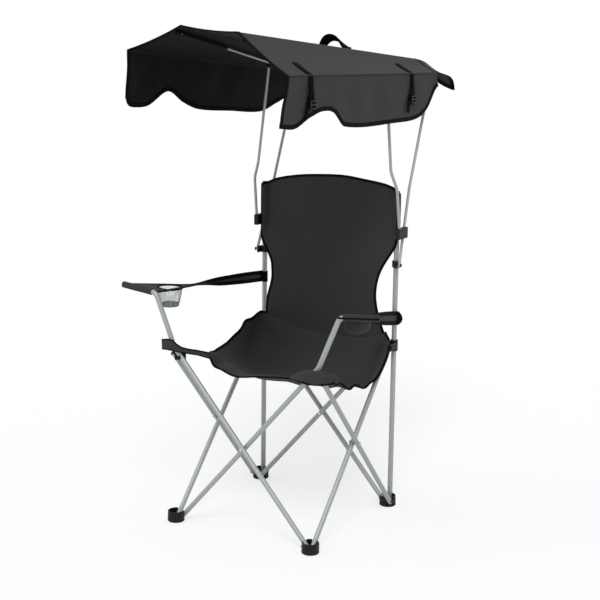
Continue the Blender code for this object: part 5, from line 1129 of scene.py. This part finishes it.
class CHAIR_OT_arms(bpy.types.Operator):
    """Arm pads with their bound edges, bar sleeves and upright loops"""
    bl_idname = "chair.arms"
    bl_label = "Arms"

    def execute(self, context):
        sizes = context.scene.chair_sizes
        cloth = finish("oxford_cloth")
        for side, word in ((LEFT, "left"), (RIGHT, "right")):
            body = "left_rear_frame" if side == LEFT else ROOT
            rows = arm_rows(word, side)
            pad = cloth_sheet(word + "_arm_cloth", rows, cloth, sizes.cloth * ARM_PAD_SHARE,
                              outward=(0, 0, 1))
            if side == LEFT:
                self.cut_cup_hole(pad)
            binding = edge_tapes(word + "_arm_binding", rows, ("first_row", "first_column", "last_column"),
                                 sizes)
            sleeve = self.bar_sleeve(word, side)
            loop = self.upright_loop(word, side)
            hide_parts(word + "_armrest")
            for piece in (pad, binding):
                ride_and_fold(piece, body, (0, 1, 0))
            ride_and_fold(loop, body)
            post = "front_leg_left_post" if side == LEFT else "front_leg_right_post"
            ride_and_fold(sleeve, post)
        return {"FINISHED"}

    def cut_cup_hole(self, pad):
        deselect_all()
        place = Vector((-CUP_PLACE[0], CUP_PLACE[1], CUP_HOLE_HEIGHT)) + FEET
        bpy.ops.mesh.primitive_cylinder_add(vertices=CUP_HOLE_SIDES, radius=CUP_RADIUS + CUP_HOLE_ROOM,
                                            depth=CUP_HOLE_DEPTH, location=place)
        drill = bpy.context.active_object
        apply_modifier(pad, "BOOLEAN", operation="DIFFERENCE", object=drill, solver="EXACT")
        bpy.data.objects.remove(drill, do_unlink=True)

    def bar_sleeve(self, word, side):
        """Sewn tube over the arm bar, puckered at its mouth."""
        plane = BAR_PLANE[word]
        start = Vector((side * BAR_BEND[0], -plane, BAR_BEND[1]))
        end = Vector((side * BAR_END[0], -plane, BAR_END[1]))
        length = (end - start).length
        along = (end - start).normalized()
        side_axis = Vector((0.0, 1.0, 0.0))
        up = along.cross(side_axis)
        up *= math.copysign(1.0, up.z)
        rows = []
        for place, radius in BAR_SLEEVE + tuple((length + past, radius) for past, radius in BAR_SLEEVE_END):
            ring = []
            for angle in turn_angles(BAR_SLEEVE_POINTS):
                reach = radius * (1.0 + BAR_PUCKER * math.sin(BAR_PUCKERS * angle + place * BAR_TWIST))
                out = side_axis * math.cos(angle) + up * math.sin(angle)
                ring.append(start + along * place + out * reach)
            rows.append(ring)
        inner = [p + along * BAR_SLEEVE_TURN for p in rows[0]]
        mouth, lid_centre = start + along * BAR_SLEEVE[0][0], start + along * (length + BAR_LID)
        lid = [lid_centre + (p - mouth) * LID_SHARE for p in rows[0]]
        return closed_tube(word + "_bar_sleeve", [lid, inner] + rows, finish("oxford_cloth"))

    def upright_loop(self, word, side):
        """Band of cloth sewn round the upright; on the right its loose end makes a lobe."""
        centre = Vector((side * SPREAD, UPRIGHT_Y, ARM_LOOP[word]))
        rows = []
        for radius, z in LOOP_SECTION:
            ring = []
            for angle in turn_angles(LOOP_POINTS):
                outward = max(0.0, side * math.cos(angle)) ** 2 * (1.0 - (z / LOBE_HALF) ** 2)
                x = radius * math.cos(angle) + side * ARM_LOOP_LOBE[word] * outward
                ring.append(centre + Vector((x, radius * math.sin(angle),
                                             z * ARM_LOOP_HALF[word] / LOOP_HALF)))
            rows.append(ring)
        return closed_tube(word + "_upright_loop", rows, finish("binding"), endless=True)


class CHAIR_OT_cup_net(bpy.types.Operator):
    """Knitted net cup with a bound rim and a small cloth floor"""
    bl_idname = "chair.cup_net"
    bl_label = "Cup net"

    def execute(self, context):
        sizes = context.scene.chair_sizes
        x, y = -CUP_PLACE[0], CUP_PLACE[1]
        floor = arm_height("left", x, y) - CUP_DEPTH
        rows = [self.net_ring(x, y, floor, v, k % 2) for k, v in enumerate(steps(0.0, 1.0, NET_ROWS))]
        net = add_piece("cup_net", grid_mesh("cup_net", rows, closed=True), finish("cup_mesh"))
        apply_modifier(net, "WIREFRAME", thickness=sizes.yarn, use_even_offset=True, use_replace=True)
        base = self.base(x, y, floor)
        rim = self.rim(x, y)
        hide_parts("cup_holder_net")
        for piece, slot in ((net, "cup_mesh"), (base, "oxford_cloth"), (rim, "oxford_cloth")):
            ride_and_fold(piece, "left_rear_frame", (0, 1, 0))
        return {"FINISHED"}

    def net_ring(self, x, y, floor, v, shifted):
        """Ring of knots, every second one shifted by half a mesh, a little crumpled between rim and floor."""
        ring = []
        for k in range(NET_MESHES):
            angle = 2.0 * math.pi * (k + 0.5 * shifted) / NET_MESHES
            across, along = math.cos(angle) * NET_RIPPLE_SPAN, math.sin(angle) * NET_RIPPLE_SPAN
            slack = math.sin(math.pi * v) * ripple(across, along + v * NET_RIPPLE_SPAN, NET_SEED, NET_RIPPLE)
            radius = CUP_RADIUS + (CUP_FLOOR_RADIUS - CUP_RADIUS) * v ** NET_TAPER + NET_SLACK * slack
            px, py = x + radius * math.cos(angle), y + radius * math.sin(angle)
            top = arm_height("left", px, py) + NET_LIFT
            ring.append(Vector((px, py, top + (floor - top) * v)))
        return ring

    def base(self, x, y, floor):
        first, second = Vector((1.0, 0.0, 0.0)), Vector((0.0, 1.0, 0.0))
        rows = [round_ring(Vector((x, y, floor + drop)), first, second, CUP_FLOOR_RADIUS + out,
                           CUP_BASE_POINTS)
                for out, drop in CUP_BASE]
        return closed_tube("cup_net_base", rows, finish("oxford_cloth"))

    def rim(self, x, y):
        path, inner = [], []
        for angle in [*turn_angles(CUP_RIM_POINTS), 2.0 * math.pi]:
            for store, radius in ((path, CUP_RADIUS - CUP_RIM_INSET), (inner, CUP_RADIUS + CUP_RIM_REACH)):
                px, py = x + radius * math.cos(angle), y + radius * math.sin(angle)
                store.append(Vector((px, py, arm_height("left", px, py) + CUP_RIM_LIFT)))
        return folded_tape("cup_rim_binding", path, inner, *CUP_RIM_TAPE, finish("binding"))


class CHAIR_OT_pouch(bpy.types.Operator):
    """Soft pouch hung under the right arm pad"""
    bl_idname = "chair.pouch"
    bl_label = "Pouch"

    def execute(self, context):
        sizes = context.scene.chair_sizes
        rows = [self.pouch_ring(v, 0.0) for v in reversed(POUCH_SHARES)]
        rows += [self.pouch_ring(v, sizes.cloth) for v in POUCH_INNER_SHARES]
        pouch = closed_tube("arm_pouch", rows, finish("oxford_cloth"))
        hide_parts("right_arm_pocket")
        ride_and_fold(pouch, ROOT, (0, 1, 0))
        return {"FINISHED"}

    def pouch_ring(self, v, inset):
        """Ring of the pouch, at a share of its depth and an inset from its outer face."""
        low = BAR_BEND[1] - POUCH_DROP
        taper = 1.0 - POUCH_TAPER * v - POUCH_ROUND * soft_step(POUCH_ROUND_START, 1.0, v)
        size = taper * (1.0 + POUCH_BELLY * math.sin(math.pi * v))
        points = []
        for angle in turn_angles(POUCH_POINTS):
            cosine, sine = math.cos(angle), math.sin(angle)
            share = size * square_share(cosine, sine, POUCH_POWER)
            px = POUCH_PLACE[0] + (POUCH_HALF[0] - inset) * share * cosine
            py = POUCH_PLACE[1] + (POUCH_HALF[1] - inset) * share * sine
            top = arm_height("right", px, py) - POUCH_GAP
            points.append(Vector((px, py, top + (low + inset - top) * v)))
        return points


class CHAIR_OT_canopy(bpy.types.Operator):
    """Canopy cover with its folded hems, scallops and binding"""
    bl_idname = "chair.canopy"
    bl_label = "Canopy cover"

    def execute(self, context):
        sizes = context.scene.chair_sizes
        rows = cover_rows(steps(COVER_FRONT, COVER_REAR, 8 * sizes.fineness), sizes.wrinkle)
        # The cover's inner face gets the painted shade material
        cover = cloth_sheet("canopy_cloth", rows, finish("oxford_cloth"), sizes.cloth, outward=(0, 0, 1),
                            lining=finish("lining"))
        binding = edge_tapes("canopy_binding", rows, ("first_column", "last_column", "first_row"), sizes)
        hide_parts("canopy_cover")
        sleeves = [self.rail_sleeve(word) for word in ("left", "right")]
        welts = self.fold_welts(rows)
        for piece in (cover, binding, welts):
            ride_and_fold(piece, "right_canopy_frame", (1, 0, 0))
        return {"FINISHED"}

    def rail_sleeve(self, word):
        """Casing of cloth that holds the front part of a rail under the roof."""
        start, end, radius = SLEEVED_RAIL[word]
        start, end = Vector(start), Vector(end)
        along = (end - start).normalized()
        start -= along * RAIL_SLEEVE_AHEAD
        across = along.cross(Vector((0.0, 0.0, 1.0))).normalized()
        up = across.cross(along)
        rows = [round_ring(start.lerp(end, share), across, up, radius * size, RAIL_SLEEVE_POINTS)
                for share, size in RAIL_SLEEVE]
        # The casing uses the painted shade material, so that it looks shaded under the roof
        sleeve = closed_tube(word + "_rail_sleeve", rows, finish("lining"))
        ride_and_fold(sleeve, word + "_canopy_frame")
        return sleeve

    def fold_welts(self, rows):
        """Sewn welt along each fold."""
        across, up = Vector((1.0, 0.0, 0.0)), Vector((0.0, 0.0, 1.0))
        left_fold = HEM_COLUMNS - 1
        welts = []
        for word, column, side in (("left", left_fold, LEFT),
                                   ("right", left_fold + 3 * (SPAN_COLUMNS - 1), RIGHT)):
            offset = Vector((side * WELT_OUT, 0.0, WELT_OUT))
            rings = [round_ring(row[column] + offset, across, up, WELT_RADIUS, WELT_POINTS)
                     for row in rows[1:-1]]
            welts.append(closed_tube(word + "_fold_welt", rings, finish("oxford_cloth")))
        return joined("fold_welts", welts)


class CHAIR_OT_flap(bpy.types.Operator):
    """Flap sewn to the rear edge of the cover"""
    bl_idname = "chair.flap"
    bl_label = "Rear flap"

    def execute(self, context):
        sizes = context.scene.chair_sizes
        length = FLAP[-1][0]
        rows = []
        for reach in steps(0.0, length, FLAP_ROWS):
            row = []
            for u in steps(-1.0, 1.0, FLAP_COLUMNS):
                x = u * (COVER_FOLD + FLAP_FLARE * reach / length)
                base = roof_height(max(-COVER_FOLD, min(COVER_FOLD, x)), COVER_REAR)
                droop = sizes.wrinkle * ripple(x, reach, FLAP_SEED, FLAP_RIPPLE)
                droop *= soft_step(0.0, FLAP_CALM, reach)
                row.append(Vector((x, COVER_REAR + FLAP_GAP + reach,
                                   base - smooth_value(FLAP, reach) + droop)))
            rows.append(row)
        flap = cloth_sheet("rear_flap_cloth", rows, finish("oxford_cloth"), sizes.cloth, outward=(0, 0, 1))
        sides = ("first_column", "last_column", "last_row", "first_row")
        binding = edge_tapes("rear_flap_binding", rows, sides, sizes)
        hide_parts("canopy_rear_flap")
        for piece in (flap, binding):
            ride_and_fold(piece, "right_canopy_frame", (1, 0, 0))
        return {"FINISHED"}


class CHAIR_OT_webbing(bpy.types.Operator):
    """Canopy straps over the folds and the carry handle on the roof"""
    bl_idname = "chair.webbing"
    bl_label = "Straps and handle"

    def execute(self, context):
        sizes = context.scene.chair_sizes
        for side, word in ((LEFT, "left"), (RIGHT, "right")):
            for place, y in STRAP_PLACES.items():
                name = word + "_" + place + "_strap"
                offsets = steps(-STRAP_WIDTH / 2.0, STRAP_WIDTH / 2.0, STRAP_COLUMNS)
                rows = zip(*[self.strap_path(side, y + offset, sizes.webbing) for offset in offsets])
                strap = cloth_sheet(name, [list(r) for r in rows], finish("webbing"), sizes.webbing)
                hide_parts(word + "_" + place + "_canopy_strap")
                ride_and_fold(strap, word + "_canopy_frame")
                tail = self.strap_tail(name + "_tail", side, y, sizes.webbing)
                ride_and_fold(tail, word + "_canopy_frame")
        handle = self.handle()
        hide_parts("carry_handle")
        ride_and_fold(handle, "right_canopy_frame", (1, 0, 0))
        return {"FINISHED"}

    def strap_path(self, side, y, webbing):
        """From the roof over the fold and down the valance."""
        lift = STRAP_LIFT + webbing / 2.0
        path = []
        for up in steps(*STRAP_ON_ROOF, STRAP_ROOF_ROWS):
            x = side * (COVER_FOLD - up)
            here = Vector((x, y, roof_height(x, y)))
            inward = Vector((x - side * ROOF_STEP, y, roof_height(x - side * ROOF_STEP, y)))
            slope = (inward - here).normalized()
            out = Vector((-slope.z, 0.0, slope.x))
            path.append(here + out * math.copysign(lift, out.z))
        fold_x, fold_z = side * (COVER_FOLD + lift), roof_height(side * COVER_FOLD, y)
        path.append(Vector((fold_x - side * STRAP_CORNER, y, fold_z + lift * STRAP_CORNER_SHARE)))
        for drop in steps(*STRAP_HANG, STRAP_HANG_ROWS):
            stand = STRAP_STAND * soft_step(0.0, STRAP_STAND_REACH, drop)
            path.append(Vector((fold_x + side * stand, y, fold_z - drop)))
        return path

    def strap_tail(self, name, side, y, webbing):
        """Loose end of a strap, swung towards the front below the buckle."""
        top = roof_height(side * COVER_FOLD, y) - TAIL_START
        rows = []
        for share in steps(0.0, 1.0, TAIL_ROWS):
            stand = TAIL_STAND + TAIL_SWING * share + TAIL_CURL * math.sin(share * TAIL_CURLS)
            centre = Vector((side * (COVER_FOLD + stand), y - TAIL_LEAN * share, top - TAIL_DROP * share))
            rows.append([centre + TAIL_ACROSS * TAIL_WIDTH / 2.0 * s for s in steps(-1.0, 1.0, 5)])
        return cloth_sheet(name, rows, finish("webbing"), webbing)

    def handle(self):
        """Arched band that stands on the roof and leans a little."""
        x, y = HANDLE_PLACE
        lift = HANDLE_LIFT + HANDLE_THICKNESS / 2.0
        rows = []
        for offset in steps(HANDLE_ARCH[0][0], HANDLE_END, HANDLE_ROWS):
            height = max(0.0, smooth_value(HANDLE_ARCH, offset))
            row = []
            for edge in steps(-0.5, 0.5, HANDLE_COLUMNS):
                edge_y = y + HANDLE_WIDTH * edge
                ground = roof_height(x + offset, edge_y)
                if abs(offset) < HANDLE_FEET:
                    low, high = roof_height(x - HANDLE_FEET, edge_y), roof_height(x + HANDLE_FEET, edge_y)
                    ground = low + (high - low) * (offset + HANDLE_FEET) / (2.0 * HANDLE_FEET)
                lean = edge * HANDLE_WIDTH * HANDLE_LEAN * soft_step(0.0, HANDLE_LEAN_HEIGHT, height)
                row.append(Vector((x + offset, edge_y - lean * HANDLE_SLIDE, ground + lift + height - lean)))
            rows.append(row)
        return cloth_sheet("roof_handle", rows, finish("webbing"), HANDLE_THICKNESS, outward=(0, 0, 1))


class CHAIR_PT_panel(bpy.types.Panel):
    """Lists the chair's sizes, colours and steps"""
    bl_label = "Camping chair"
    bl_idname = "CHAIR_PT_panel"
    bl_space_type = "VIEW_3D"
    bl_region_type = "UI"
    bl_category = "Chair"

    def draw(self, context):
        for group in (context.scene.chair_sizes, context.scene.chair_colours, context.scene.chair_stage):
            box = self.layout.box()
            for key in group.bl_rna.properties.keys():
                if key not in {"rna_type", "name"}:
                    box.prop(group, key)
        for each in OPERATORS:
            self.layout.operator(each.bl_idname)


OPERATORS = (CHAIR_OT_stage, CHAIR_OT_frame_finish, CHAIR_OT_back, CHAIR_OT_seat, CHAIR_OT_arms,
             CHAIR_OT_cup_net, CHAIR_OT_pouch, CHAIR_OT_canopy, CHAIR_OT_flap, CHAIR_OT_webbing)
CLASSES = (ChairSizes, ChairColours, StageSettings, *OPERATORS, CHAIR_PT_panel)


def register():
    for each in CLASSES:
        bpy.utils.register_class(each)
    bpy.types.Scene.chair_sizes = PointerProperty(type=ChairSizes)
    bpy.types.Scene.chair_colours = PointerProperty(type=ChairColours)
    bpy.types.Scene.chair_stage = PointerProperty(type=StageSettings)


def unregister():
    del bpy.types.Scene.chair_sizes
    del bpy.types.Scene.chair_colours
    del bpy.types.Scene.chair_stage
    for each in reversed(CLASSES):
        bpy.utils.unregister_class(each)


def main():
    register()
    bpy.ops.chair.stage()
    bpy.ops.chair.frame_finish()
    bpy.ops.chair.back()
    bpy.ops.chair.seat()
    bpy.ops.chair.arms()
    bpy.ops.chair.cup_net()
    bpy.ops.chair.pouch()
    bpy.ops.chair.canopy()
    bpy.ops.chair.flap()
    bpy.ops.chair.webbing()


if __name__ == "__main__":
    main()
